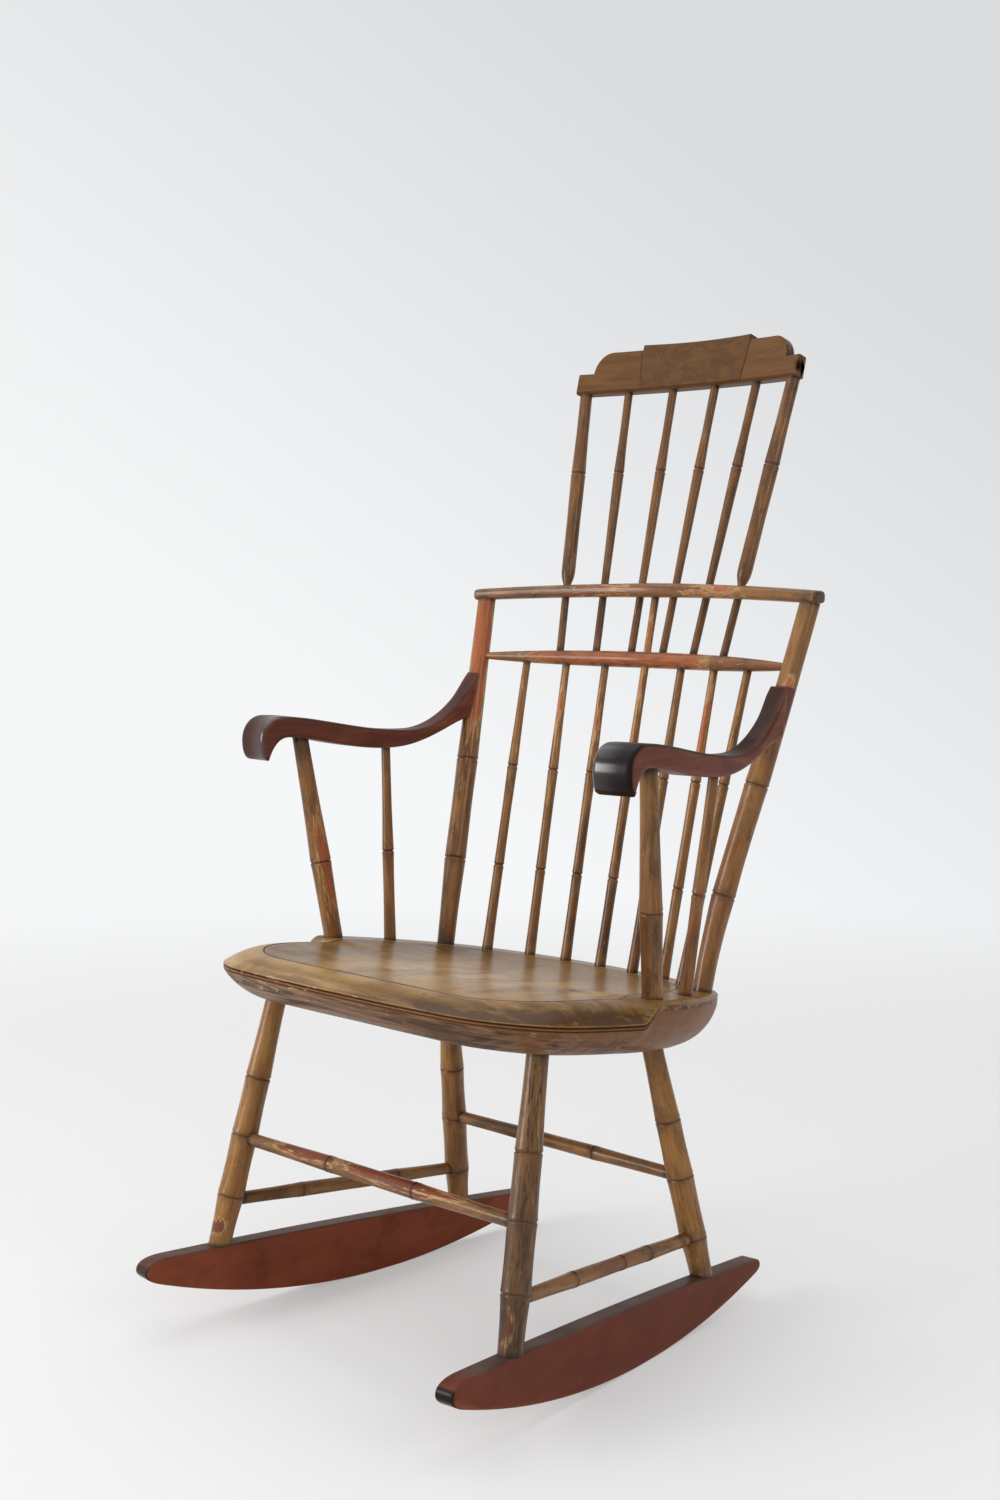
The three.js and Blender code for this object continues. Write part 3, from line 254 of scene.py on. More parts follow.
# Steps along a turning near one of its scored rings
RING_STEPS = np.array([-5, -3.6, -2.7, -2, -1.5, -1, -0.5, 0, 0.5, 1, 1.5, 2, 2.7, 3.6, 5])
RING_GAP, PLAIN_STEP, SCORE_DEPTH, SHOULDER = 1.4, 5, 1.0, 0.3


def stick(name, start, end, radius, rings, material, nodes, seed=0.0, sides=36, below=6.0, above=6.0,
          bend=None, foot=None, flat=None, wear=(), grime=0.5, soil=0.0, stain=None, left=False):
    """A turning with scored rings. wear is a list of (share, length share, side angle, strength)."""
    length = np.linalg.norm(end - start)
    axis = unit(end - start)
    side = unit(np.cross(axis, vec(0, 1, 0)))
    front = unit(np.cross(side, axis))
    plain = np.linspace(0, length, max(8, int(length / PLAIN_STEP)))
    near = np.concatenate([RING_STEPS + share * length for share in rings])
    keep = [p for p in plain if np.abs(near - p).min() > RING_GAP]
    along = np.unique(np.round(np.concatenate([[-below, length + above], keep, near]), 3))
    share = along / length
    theta = np.arange(sides) / sides * 2 * math.pi
    from_ring = along[:, None] - np.multiply(rings, length)
    shoulders = bump_at(from_ring, 2.6, 1.2) + bump_at(from_ring, -2.6, 1.2)
    r = radius(share) + (SHOULDER * shoulders - SCORE_DEPTH * bump_at(from_ring, 0, 1.05)).sum(1)
    wobble = 0.006 * np.sin(along / 37 + seed * 5) + 0.004 * np.sin(along / 13 + seed * 9)
    oval = 1 + 0.008 * np.cos(2 * theta + seed * 3 + along[:, None] / 150)
    r = (r * (1 + wobble))[:, None] * oval
    x, y = r * np.cos(theta), r * np.sin(theta)
    if flat:
        direction, offset, from_share = flat
        f = unit(direction - axis * np.dot(direction, axis))
        fx, fy = np.dot(f, side), np.dot(f, front)
        limit = lerp(offset + 5, offset, smooth(share, from_share - 0.02, from_share + 0.03))[:, None]
        over = np.maximum(0, x * fx + y * fy - limit)
        x, y = x - over * fx, y - over * fy
    t = along[:, None] + 0 * x
    off = x[..., None] * side + y[..., None] * front
    if foot:
        t = t + foot(start, axis, off) * np.clip(1 - along / 45, 0, 1)[:, None]
    points = start + axis * t[..., None] + off
    if bend:
        points = points + bend(share)[:, None, :]
    if left:
        points = mirror(points)
    around = theta[None] + 0 * t
    worn = np.zeros_like(t)
    for at, spread, angle, strength in wear:
        patch = strength * bump_at(share[:, None], at, spread)
        worn = np.maximum(worn, patch * (0.15 + 0.85 * np.cos(around - angle)))
    stained = 0 * t
    if stain:
        low, high = stain
        stained = smooth(along, low, low + 12) * smooth(along, high, high - 12)
        stained = stained[:, None] * smooth(np.cos(around + 1.9), -0.5, 0.2)
    from_foot, from_head = np.clip(along, 0, None), np.clip(length - along, 0, None)
    ends = np.maximum(bump_at(from_foot, 0, 2.2), bump_at(from_head, 0, 2.0))
    dirt = 0.35 * np.maximum(bump_at(from_foot, 0, 30), bump_at(from_head, 0, 22))
    dirt = np.maximum(dirt, soil * (1 - smooth(share, 0.4, 0.85)))
    dirt = np.maximum(dirt, 0.5 * bump_at(from_ring, 0, 7).max(1))
    marks = {
        "grain": np.stack([x + 40 * seed, y + 17 * seed, t + 200 * seed], -1).reshape(-1, 3) * MM,
        "score": np.repeat(bump_at(from_ring, 0, 1.5).max(1), sides),
        "ends": np.repeat(ends, sides),
        "dirt": np.repeat(dirt * grime * 2, sides),
        "worn": worn.ravel(),
        "stain": stained.ravel(),
        "tone": np.full(t.size, 0.5 + 0.5 * math.sin(seed * 12.9898)),
    }
    faces = tube_faces(len(along), sides)
    piece(name, points.reshape(-1, 3), faces, marks, material, nodes, 55)


def filled(outline, spacing):
    """Points inside an outline and the triangles that fill it"""
    low, high = outline.min(0), outline.max(0)
    across, up = np.meshgrid(np.arange(low[0], high[0], spacing), np.arange(low[1], high[1], spacing))
    inner = np.stack([across.ravel() + 0.31 * spacing, up.ravel() + 0.27 * spacing], -1)
    start, end = outline, np.roll(outline, -1, 0)
    rise = (end - start)[:, 1]
    crossed = (start[:, 1] > inner[:, None, 1]) != (end[:, 1] > inner[:, None, 1])
    at = start[:, 0] + (inner[:, None, 1] - start[:, 1]) * (end - start)[:, 0] / np.where(rise == 0, 1, rise)
    inside = (crossed & (inner[:, None, 0] < at)).sum(1) % 2 == 1
    gap = np.linalg.norm(inner[:, None] - outline[None], axis=2).min(1)
    inner = inner[inside & (gap > 0.55 * spacing)]
    every = np.vstack([outline, inner])
    loop = [list(range(len(outline)))]
    result = delaunay_2d_cdt([Vector(p) for p in every], [], loop, 1, 1e-5)
    source = [ids[0] if ids else int(np.linalg.norm(every - place, axis=1).argmin())
              for ids, place in zip(result[3], result[0])]
    faces = [[source[i] for i in face] for face in result[2]]
    return inner, [face for face in faces if len(set(face)) == 3]


def slab(name, outline, half_width, round_by, place, material, nodes, extra, left, rows, spacing,
         crisp=None):
    """A board sawn to an outline, its edges rounded but where crisp. place maps along, height and across."""
    size = len(outline)
    if np.sum(outline[:, 0] * np.roll(outline[:, 1], -1) - np.roll(outline[:, 0], -1) * outline[:, 1]) < 0:
        outline = outline[::-1]
    tangent = np.roll(outline, -1, 0) - np.roll(outline, 1, 0)
    normal = np.stack([tangent[:, 1], -tangent[:, 0]], -1)
    normal /= np.linalg.norm(normal, axis=1, keepdims=True)
    radius = round_by * (1 - (crisp(outline) if crisp else np.zeros(size)))
    arc = np.linspace(0, math.pi / 2, 6)
    stations = [(-1, 1 - math.sin(a), 1 - math.cos(a)) for a in arc]
    stations += [(share, 0, 1) for share in np.linspace(-1, 1, rows + 2)[1:-1]]
    stations += [(1, inset, back) for _, inset, back in stations[:6][::-1]]
    local, rim = [], []
    for share, inset, back in stations:
        pts = outline - normal * (radius * inset)[:, None]
        local.append(np.column_stack([pts, share * (half_width(pts[:, 0]) - radius * back)]))
        rim.append(np.full(size, 1.0 - inset))
    inner, triangles = filled(outline - normal * radius[:, None], spacing)
    faces = tube_faces(len(stations), size)[:-2]
    for side, ring in ((-1, 0), (1, len(stations) - 1)):
        first = len(stations) * size + (len(inner) if side > 0 else 0)
        local.append(np.column_stack([inner, side * half_width(inner[:, 0])]))
        rim.append(np.zeros(len(inner)))
        faces += [[ring * size + i if i < size else first + i - size for i in face] for face in triangles]
    local = np.concatenate(local)
    rim = np.concatenate(rim)
    near = np.concatenate([np.zeros(size * len(stations)), np.tile(
        np.linalg.norm(inner[:, None] - outline[None], axis=2).min(1), 2)])
    normals = np.concatenate([np.tile(normal, (len(stations), 1)), np.zeros((2 * len(inner), 2))])
    points = place(local[:, 0], local[:, 1], local[:, 2])
    if left:
        points = mirror(points)
    marks = {"grain": (local + (vec(300, 0, 70) if left else 0)) * MM}
    marks.update(extra(local, normals, rim, near))
    piece(name, points, faces, marks, material, nodes, sharp=40)


# Materials

COAT_ROUGHNESS = 0.16


def rgb(*levels):
    """A linear colour from 0-255 display values"""
    shares = [level / 255 for level in levels]
    return tuple(c / 12.92 if c <= 0.04045 else ((c + 0.055) / 1.055) ** 2.4 for c in shares) + (1.0,)


class Graph:
    """A node tree whose nodes are added by short calls that return sockets"""

    def __init__(self, tree):
        self.nodes, self.links = tree.nodes, tree.links

    def put(self, socket, value):
        """Links a socket, or the mark that a string names, or sets a number or a 0-255 display colour"""
        if isinstance(value, str):
            value = self.mark(value)
        if isinstance(value, bpy.types.NodeSocket):
            self.links.new(value, socket)
        else:
            socket.default_value = rgb(*value) if socket.type == "RGBA" else value

    def put_all(self, node, values):
        for key, value in values.items():
            self.put(node.inputs[key], value)

    def new(self, kind, values=None, out=0, **settings):
        """A new node's output, once its settings and then its inputs are set"""
        node = self.nodes.new("ShaderNode" + kind)
        for key, value in settings.items():
            setattr(node, key, value)
        self.put_all(node, values or {})
        return node.outputs[out]

    def mark(self, name, out="Fac"):
        return self.new("Attribute", out=out, attribute_name=name)

    def math(self, kind, a, b):
        return self.new("Math", {0: a, 1: b}, operation=kind)

    def times(self, a, b):
        return self.math("MULTIPLY", a, b)

    def minus(self, a, b):
        return self.math("SUBTRACT", a, b)

    def plus(self, a, b, *more):
        total = self.math("ADD", a, b)
        return self.plus(total, *more) if more else total

    def around(self, noise, strength):
        """A noise as a swing about zero"""
        return self.times(self.minus(noise, 0.5), strength)

    def ramp(self, value, low, high, kind="SMOOTHSTEP"):
        return self.new("MapRange", {"Value": value, "From Min": low, "From Max": high},
                        interpolation_type=kind)

    def mix(self, share, a, b):
        return self.new("Mix", {0: share, 6: a, 7: b}, 2, data_type="RGBA")

    def seen_directly(self):
        """1 for the rays that show the background itself, so light on the object does not change with it"""
        path = self.nodes.new("ShaderNodeLightPath").outputs
        glossy = self.math("MAXIMUM", path["Is Camera Ray"], path["Is Glossy Ray"])
        return self.math("MAXIMUM", glossy, path["Is Transmission Ray"])


class Paint(Graph):
    """A material whose colour is laid up in layers"""

    def __init__(self, name):
        self.material = bpy.data.materials.new(name)
        self.material.use_nodes = True
        super().__init__(self.material.node_tree)
        self.shader = self.nodes["Principled BSDF"]
        self.grain = self.color = None

    def noise(self, scale, detail=4.0, rough=0.55, distort=0.0, shift=(0, 0, 0)):
        """Noise in the grain's own space, with one scale or one for each direction"""
        if self.grain is None:
            self.grain = self.mark("grain", "Vector")
        place, size = self.grain, scale
        if isinstance(scale, tuple):
            place, size = self.new("Mapping", {"Vector": place, "Scale": scale, "Location": shift}), 1.0
        return self.new("TexNoise", {"Vector": place, "Scale": size, "Detail": detail, "Roughness": rough,
                                     "Distortion": distort})

    def lay(self, paint, share, strength=None):
        """Lays a paint over the colour so far"""
        if strength is not None:
            share = self.times(share, strength)
        self.color = self.mix(share, self.color, paint)

    def done(self, rough, height, depth, coat=0.0, level=0.3):
        bump = self.new("Bump", {"Height": height, "Distance": depth})
        self.put_all(self.shader, {"Base Color": self.color, "Roughness": rough, "Specular IOR Level": level,
                                   "Coat Weight": coat, "Coat Roughness": COAT_ROUGHNESS, "Normal": bump})
        return self.material


def stick_paint(name, paints, bare_paints, grime_by=1.0, flecks=0.3):
    """Old brown paint over reddish primer, streaked along the turning and dark in its scored rings"""
    light, mid, dark, primer = paints
    p = Paint(name)
    streak = p.noise((90, 90, 9), 5.0, 0.6, 0.4)
    fine = p.noise((420, 420, 26), 4.0, 0.6)
    blotch = p.noise((30, 30, 14), 5.0, 0.65, 0.6)
    cloud = p.noise((10, 10, 6), 2.0, 0.5)
    speck = p.noise(620.0, 2.0, 0.5)
    fleck = p.noise((230, 230, 28), 4.0, 0.65, 0.5, shift=(3, 1, 7))
    p.color = p.mix(p.ramp(streak, 0.34, 0.68), mid, light)
    p.lay(primer, p.ramp(cloud, 0.48, 0.66), 0.5)
    p.lay(dark, p.ramp(fine, 0.5, 0.75), 0.3)
    p.lay(dark, p.ramp(p.plus(blotch, p.times("tone", 0.1)), 0.5, 0.7), 0.7 * grime_by)
    p.lay((44, 29, 19), p.ramp(fleck, 0.55, 0.63), flecks)
    p.lay((182, 142, 94), p.ramp(fleck, 0.42, 0.34), 0.7 * flecks)
    ragged = p.plus(p.around(blotch, 1.5), p.around(fine, 1.1))
    worn = p.plus("worn", ragged)
    bare = p.ramp(worn, 0.42, 0.52)
    p.lay((190, 150, 98), p.ramp(worn, 0.3, 0.38), 0.7)
    p.lay(p.mix(p.ramp(fine, 0.35, 0.65), *bare_paints), bare, 0.9)
    stain = p.plus("stain", p.times(ragged, 0.35))
    p.lay(p.mix(p.ramp(streak, 0.3, 0.7), (84, 46, 34), (106, 60, 42)), p.ramp(stain, 0.35, 0.6))
    patchy = p.ramp(p.plus(streak, p.times(blotch, 0.6)), 0.55, 1.05)
    p.lay((52, 36, 24), p.times("dirt", patchy), grime_by)
    p.lay((84, 37, 22), "score", 0.8)
    p.lay((30, 20, 14), "ends", 0.85)
    p.lay((190, 160, 120), p.ramp(speck, 0.7, 0.76), 0.55)
    rough = p.plus(p.times(fine, 0.22), p.times(blotch, 0.22), 0.14)
    height = p.plus(p.times(fine, 0.5), streak, p.times(bare, -0.35))
    return p.done(rough, height, 0.0004, coat=0.22, level=0.2)


ORANGE = ((134, 62, 30), (166, 90, 44))
DARK_RED = ((86, 29, 15), (122, 46, 23))
OCHRE = ((150, 107, 59), (120, 80, 42), (68, 44, 25), (124, 66, 33))
LEG_PAINTS = ((162, 116, 60), (136, 92, 45), (82, 53, 29), (136, 78, 38))
DARK_LEG_PAINTS = ((140, 101, 58), (100, 68, 37), (46, 30, 16), (104, 58, 32))
COMB_PAINTS = ((124, 84, 45), (98, 64, 34), (52, 34, 20), (110, 58, 31))
RAIL_PAINTS = ((142, 99, 54), (110, 73, 39), (60, 38, 21), (124, 68, 33))
stick_mat = stick_paint("stick_paint", OCHRE, ORANGE)
rung_mat = stick_paint("rung_paint", OCHRE, DARK_RED)
leg_mat = stick_paint("leg_paint", LEG_PAINTS, DARK_RED, 0.75)
dark_leg_mat = stick_paint("dark_leg_paint", DARK_LEG_PAINTS, DARK_RED, 1.0, 0.85)
comb_mat = stick_paint("comb_paint", COMB_PAINTS, DARK_RED, 0.9)
rail_mat = stick_paint("rail_paint", RAIL_PAINTS, ORANGE, 0.8)


def rocker_paint(name, dark, light, nose, bared):
    """Red paint, grey with wear on top and dark at the nose. bared is how far the top's tip keeps its red."""
    p = Paint(name)
    streak = p.noise((12, 34, 34), 5.0, 0.65, 0.6)
    blotch = p.noise(22.0, 5.0, 0.6, 0.5)
    fine = p.noise(420.0, 3.0, 0.5)
    p.color = p.mix(p.ramp(streak, 0.3, 0.7), dark, light)
    p.lay((88, 44, 31), p.ramp(blotch, 0.48, 0.7), 0.5)
    on_top = p.times("top", p.minus(1.0, p.times("tip", bared)))
    grimed = p.times(on_top, p.ramp(p.plus(streak, p.times(fine, 0.3)), 0.2, 0.75))
    p.lay(p.mix(p.ramp(streak, 0.35, 0.65), (70, 54, 46), (92, 75, 66)), on_top, 0.85)
    p.lay((62, 44, 36), grimed, 0.25)
    p.lay((150, 84, 54), p.ramp(p.plus("rim", p.around(blotch, 1.2)), 0.55, 0.95), 0.3)
    p.lay((126, 64, 36), p.ramp(p.plus("warm", p.around(blotch, 1.1)), 0.4, 0.8))
    p.lay(nose, p.ramp(p.plus("nose", p.around(blotch, 0.8)), 0.3, 0.8))
    p.lay((170, 120, 100), p.ramp(fine, 0.66, 0.75), 0.25)
    rough = p.plus(p.times(blotch, 0.3), p.minus(0.3, p.times("nose", 0.2)))
    return p.done(rough, p.plus(streak, p.times(fine, 0.25)), 0.0003, level=0.12)


def arm_paint(name, top_paints, nose):
    """Dark red paint, near black on top, glossy on the scroll and worn through at the post"""
    p = Paint(name)
    streak = p.noise((8, 60, 90), 5.0, 0.6, 0.5)
    blotch = p.noise(26.0, 4.0, 0.6, 0.4)
    fine = p.noise((60, 300, 300), 3.0, 0.5)
    p.color = p.mix(p.ramp(streak, 0.3, 0.7), (92, 50, 38), (110, 62, 46))
    p.lay((78, 42, 36), p.ramp(blotch, 0.5, 0.7), 0.5)
    p.lay(p.mix(p.ramp(blotch, 0.4, 0.65), *top_paints), "top")
    p.lay((140, 78, 56), "worn", p.ramp(streak, 0.35, 0.65))
    p.lay(nose, "nose")
    p.lay((146, 102, 56), p.ramp(p.plus("fade", p.around(fine, 1.2)), 0.6, 0.85))
    rough = p.plus(p.times(blotch, 0.2), 0.3)
    height = p.times(p.plus(streak, p.times(fine, 0.4)), p.minus(1.0, "nose"))
    return p.done(rough, height, 0.0002, coat=p.plus(p.times("gloss", 0.95), 0.03), level=0.1)


def seat_paint():
    """Ochre paint with darker patches, a painted highlight in the front of the dish, along the rim and on its
    left side, painted shade on the rolled front towards its edge, and banded layers round the edge
    """
    p = Paint("seat_paint")
    streak = p.noise((9, 70, 120), 6.0, 0.62, 0.5)
    cross = p.noise((24, 5, 24), 3.0, 0.5, 0.5)
    blotch = p.noise(15.0, 5.0, 0.62, 0.5)
    fine = p.noise((260, 500, 500), 4.0, 0.6)
    speck = p.noise((75, 170, 170), 2.0, 0.5)
    band = p.noise((10, 10, 240), 5.0, 0.7, 0.6)
    nick = p.noise((42, 42, 190), 6.0, 0.75, 0.6)
    p.color = p.mix(p.ramp(blotch, 0.36, 0.64), (122, 88, 42), (154, 117, 61))
    # Painted highlight, pale in the front of the dish, near the rim's outer edge and along its left side
    p.lay((184, 153, 108), "lit", p.ramp(blotch, 0.3, 0.55))
    p.lay((104, 70, 44), p.ramp(cross, 0.5, 0.64), p.times("dish", 0.6))
    p.lay((98, 68, 42), p.ramp(streak, 0.5, 0.72), 0.35)
    banded = p.ramp(p.plus(p.times(band, 0.6), p.times(streak, 0.4)), 0.43, 0.57)
    edge = p.mix(banded, (62, 43, 32), (132, 97, 68))
    p.lay(p.mix(p.times(p.ramp(streak, 0.46, 0.64), 0.7), edge, (140, 107, 76)), "side")
    p.lay((120, 80, 48), p.ramp(p.plus("warm", p.around(blotch, 1.2)), 0.3, 0.7), 0.85)
    patches = p.ramp(p.plus(p.times(blotch, 0.6), p.times(streak, 0.8)), 0.45, 0.85)
    # Dark patches, and painted shade on the rolled front towards its edge and on the edge itself
    p.lay((78, 54, 32), "dark", patches)
    p.lay((58, 28, 20), "score", 0.85)
    p.lay((44, 30, 22), "ends", 0.75)
    p.lay((80, 52, 34), p.ramp(speck, 0.66, 0.72), p.minus(0.7, p.times("side", 0.5)))
    p.lay((180, 146, 110), p.ramp(p.plus("chip", p.around(nick, 3.4)), 0.6, 0.72), 0.75)
    rough = p.plus(p.times(blotch, 0.25), p.times("side", 0.12), 0.2)
    ribs = p.times(streak, p.plus(p.times("side", 1.6), 0.25))
    height = p.plus(p.times(fine, 0.35), ribs, p.times(p.ramp(speck, 0.66, 0.74), -0.5))
    return p.done(rough, height, 0.0005, coat=0.06, level=0.12)


def crest_paint():
    """Brown paint, with a plain mottled patina on the tablet and painted shade in a recess in one end"""
    p = Paint("crest_paint")
    streak = p.noise((7, 60, 120), 5.0, 0.6, 0.3)
    fine = p.noise((150, 420, 420), 4.0, 0.6)
    swirl = p.noise((26, 26, 44), 4.0, 0.6, 2.4)
    p.color = p.mix(p.ramp(streak, 0.3, 0.7), (88, 57, 28), (108, 73, 37))
    p.lay((84, 55, 32), p.ramp(fine, 0.5, 0.75), 0.35)
    p.lay(p.mix(p.ramp(swirl, 0.42, 0.6), (78, 51, 26), (95, 64, 33)), "tablet", 0.8)
    p.lay((92, 50, 32), "low", p.ramp(streak, 0.4, 0.8))
    p.lay((66, 43, 28), "rim", p.ramp(swirl, 0.35, 0.65))
    p.lay((74, 46, 28), "score", 0.6)
    # Painted shade in the hollow broken into the right end
    p.lay((34, 20, 14), "hollow")
    rough = p.plus(p.times(swirl, 0.2), 0.28)
    return p.done(rough, p.plus(streak, p.times(fine, 0.4)), 0.0003, level=0.15)


# Seat

def catmull(points, count):
    """A closed centripetal curve through the points, sampled at even spacing"""
    n = len(points)
    fine = []
    for i in range(n):
        p0, p1, p2, p3 = (points[(i + k - 1) % n] for k in range(4))
        d0, d1, d2 = (max(np.linalg.norm(b - a) ** 0.5, 1e-4) for a, b in ((p0, p1), (p1, p2), (p2, p3)))
        t1 = ((p1 - p0) / d0 - (p2 - p0) / (d0 + d1) + (p2 - p1) / d1) * d1
        t2 = ((p2 - p1) / d1 - (p3 - p1) / (d1 + d2) + (p3 - p2) / d2) * d1
        t = np.linspace(0, 1, 80, endpoint=False)[:, None]
        square, cube = -3 * p1 + 3 * p2 - 2 * t1 - t2, 2 * p1 - 2 * p2 + t1 + t2
        fine.append(p1 + t1 * t + square * t**2 + cube * t**3)
    fine = np.concatenate(fine)
    closed = np.vstack([fine, fine[:1]])
    walked = np.concatenate([[0], np.cumsum(np.linalg.norm(np.diff(closed, axis=0), axis=1))])
    at = np.linspace(0, walked[-1], count, endpoint=False)
    return np.stack([np.interp(at, walked, closed[:, k]) for k in range(2)], -1)


SEAT_OUTLINE = [(0, -1), (0.42, -0.985), (0.73, -0.925), (0.93, -0.72), (1, -0.38),
                (0.99, 0.05), (0.9, 0.43), (0.74, 0.74), (0.42, 0.93), (0, 1)]
LIP_START = -DECK_END - DECK_STEP

# Two fine lines under the rolled front: (inset, depth below the edge, share of the score's colour)
LIP_LINES = ((0.4, 0.5, 0.2), (2.2, 1.2, 1.0), (2.4, 1.6, 1.0), (0.5, 2.4, 0.3), (0.1, 3.2, 0.0),
             (0.4, 3.8, 0.1), (1.6, 4.6, 0.75), (1.9, 5.0, 0.75), (0.9, 5.8, 0.2))
UNDER_LINES = 6.4


def build_seat(material):
    right = np.array([(u * SEAT_HALF_WIDTH, v * (SEAT_FRONT if v < 0 else SEAT_REAR))
                      for u, v in SEAT_OUTLINE])
    outline = catmull(np.vstack([right, right[1:-1][::-1] * [-1, 1]]), 420)
    reach = np.linalg.norm(outline, axis=1)
    u_edge, v_edge = outline.T
    lip = 1 - smooth(v_edge, LIP_START, -DECK_END)

    def top_depth(v, share):
        run = SEAT_FRONT - RIM - FALL_START
        return FRONT_FALL * np.maximum(0, (-v - FALL_START) / run) ** 2 + LIP_STEP * lip * share**3

    def rim_depth(inset):
        share = np.clip(1 - inset / RIM, 0, 1)
        forward = np.clip((LIP_START - v_edge) / (SEAT_FRONT + LIP_START), 0, 1)
        inner = top_depth(v_edge * (1 - RIM / reach), 1)
        rolled = lerp(inner, lerp(LIP_SIDE_DROP, LIP_DROP, forward), share**1.8)
        return lerp(np.maximum(0, EDGE_ROUND - inset), rolled, lip)

    rings = []

    def ring(inset, depth, **marks):
        inset = inset + 0 * reach
        place = outline * (1 - inset / reach)[:, None]
        rings.append((place, depth + 0 * reach, {k: v + 0 * reach for k, v in marks.items()}))

    dish_rim = RIM + GROOVE
    # The dish, with a painted highlight in its front and darker patches on its left and at its rear
    for share in np.concatenate([np.linspace(0.06, 0.8, 12), np.linspace(0.84, 0.99, 8)]):
        inset = reach - (reach - dish_rim) * share
        u, v = outline.T * (1 - inset / reach)
        ring(inset, top_depth(v, share) + DISH_DEPTH * (1 - share**3), dish=1.0,
             lit=0.8 * bump_at(u, 0, 120) * bump_at(v, -70, 100),
             dark=0.75 * smooth(-u, 60, 180) + 0.6 * smooth(v, 30, 150))
    # The left of the rim, which takes a painted highlight and less painted shade, and where its edge is
    # chipped
    leftish = smooth(-u_edge, -210, 60)
    middle = RIM + GROOVE / 2
    for off in (1.7, 1.2, 0.8, 0.4, 0.0, -0.4, -0.8, -1.2, -1.7):
        inset = middle + off
        depth = top_depth(v_edge * (1 - inset / reach), 1) + 1.8 * bump_at(off, 0, 0.9)
        ring(inset, depth, score=bump_at(off, 0, 1.9), dish=0.3)
    # The rim rolling down to its edge: a painted highlight near the edge and on the left, and painted shade
    # that darkens it towards the edge except on the far left, darker still on the right
    for share in np.linspace(1, 0.05, 18):
        ring(RIM * share, rim_depth(RIM * share), chip=0.25 * lip * smooth(-u_edge, 0, 200),
             lit=lip * (0.3 * bump_at(share, 0.8, 0.3) + 0.75 * leftish * bump_at(share, 0.15, 0.2)),
             dark=lip * (0.9 * smooth(1 - share, 0.3, 0.9) * smooth(u_edge, -250, -60)
                         + 0.7 * smooth(u_edge, 60, 200)) + 0.5 * (1 - lip))
    # The rounded edge: a painted highlight on its left front and painted shade elsewhere
    ring(0.8, rim_depth(0.8), lit=0.5 * lip * leftish, chip=0.35 * lip * leftish,
         dark=0.5 * (1 - leftish * lip))
    drop = rim_depth(0 * reach)
    ring(0, drop, dark=0.55 - 0.3 * lip * leftish, warm=0.5 * lip, chip=0.35 * lip * leftish)
    for inset, below, score in LIP_LINES:
        deck_line = bump_at(below, 1.4, 0.7) * (1 - lip) * 0.5
        ring(inset * lip + 0.3 * (1 - lip), drop + below, score=np.maximum(score * lip, deck_line),
             warm=0.8 * lip, side=smooth(below, 1.0, 3.0), chip=0.4 * lip * leftish)
    for down in np.concatenate([np.linspace(0.03, 0.94, 20), [0.97, 0.99, 1.0]]):
        at_deck = 1 - (1 - down**1.7) ** 0.5
        at_front = 1 - (1 - down**1.2) ** 0.625
        inset = UNDER_REACH * lerp(at_deck, at_front, lip) + 1.2 * lip * (1 - down)
        ring(inset, lerp(drop + UNDER_LINES, SEAT_THICKNESS, down), side=1.0,
             dark=0.9 * bump_at(u_edge, 165, 55) * lip * smooth(down, 0, 0.3),
             warm=0.25 * (1 - smooth(down, 0, 0.4)) * lip + 0.5 * (1 - lip) + 0.4 * smooth(u_edge, 180, 260),
             chip=(0.27 * smooth(-u_edge, -60, 200) + 0.25) * lip * (1 - 0.8 * smooth(down, 0.1, 0.9)))
    for share in (0.8, 0.5, 0.2):
        ring(reach - (reach - UNDER_REACH) * share, SEAT_THICKNESS, side=1.0)

    places = np.concatenate([r[0] for r in rings])
    depth = np.concatenate([r[1] for r in rings])
    keys = ("score", "dish", "lit", "dark", "warm", "side", "chip")
    marks = {k: np.concatenate([r[2].get(k, 0 * reach) for r in rings]) for k in keys}
    points = on_seat(places[:, 0], places[:, 1], -depth)
    marks["grain"] = np.stack([places[:, 0], places[:, 1], -depth], -1) * MM
    ends = np.zeros(len(places))
    for foot, radius in deck_feet:
        gap = np.linalg.norm(points - foot, axis=1) - radius
        ends = np.maximum(ends, np.exp(-np.maximum(gap, 0) / 2.2))
    marks["ends"] = ends
    faces = tube_faces(len(rings), len(outline))
    piece("plank_seat", points, faces, marks, material, ["seat"], 60)


# Places of the sticks

LEG_RINGS, REAR_LEG_RINGS = [0.195, 0.437, 0.6665], [0.165, 0.427, 0.666]
LEG_THICK, REAR_LEG_THICK = (list(zip([0, *rings, 1], (13.0, LEG_RADIUS, LEG_RADIUS, 14.6, 12.0)))
                             for rings in (LEG_RINGS, REAR_LEG_RINGS))
arm_foot = on_seat(249.6, -12)
arm_top = leaning(arm_foot, ARM_Z, math.radians(-7.7), math.radians(4.65))
post_at_arm = at_height(post_foot, post_top, ARM_Z + 48)
arm_run = math.hypot(post_at_arm[0] - arm_top[0], post_at_arm[1] - arm_top[1])
arm_turn = math.atan2(arm_top[0] - post_at_arm[0], post_at_arm[1] - arm_top[1])
arm_end = arm_run + POST_FLAT_OFFSET
arm_along = vec(-math.sin(arm_turn), math.cos(arm_turn), 0)
arm_across = vec(math.cos(arm_turn), math.sin(arm_turn), 0)
arm_spindle_foot = on_seat(232.3, 68)
arm_spindle_top = arm_top + arm_along * arm_end * ARM_LOW_AT + vec(0, 0, ARM_LOW)
post_axis = unit(post_top - post_foot)
post_flat = unit(-arm_along - post_axis * np.dot(-arm_along, post_axis))

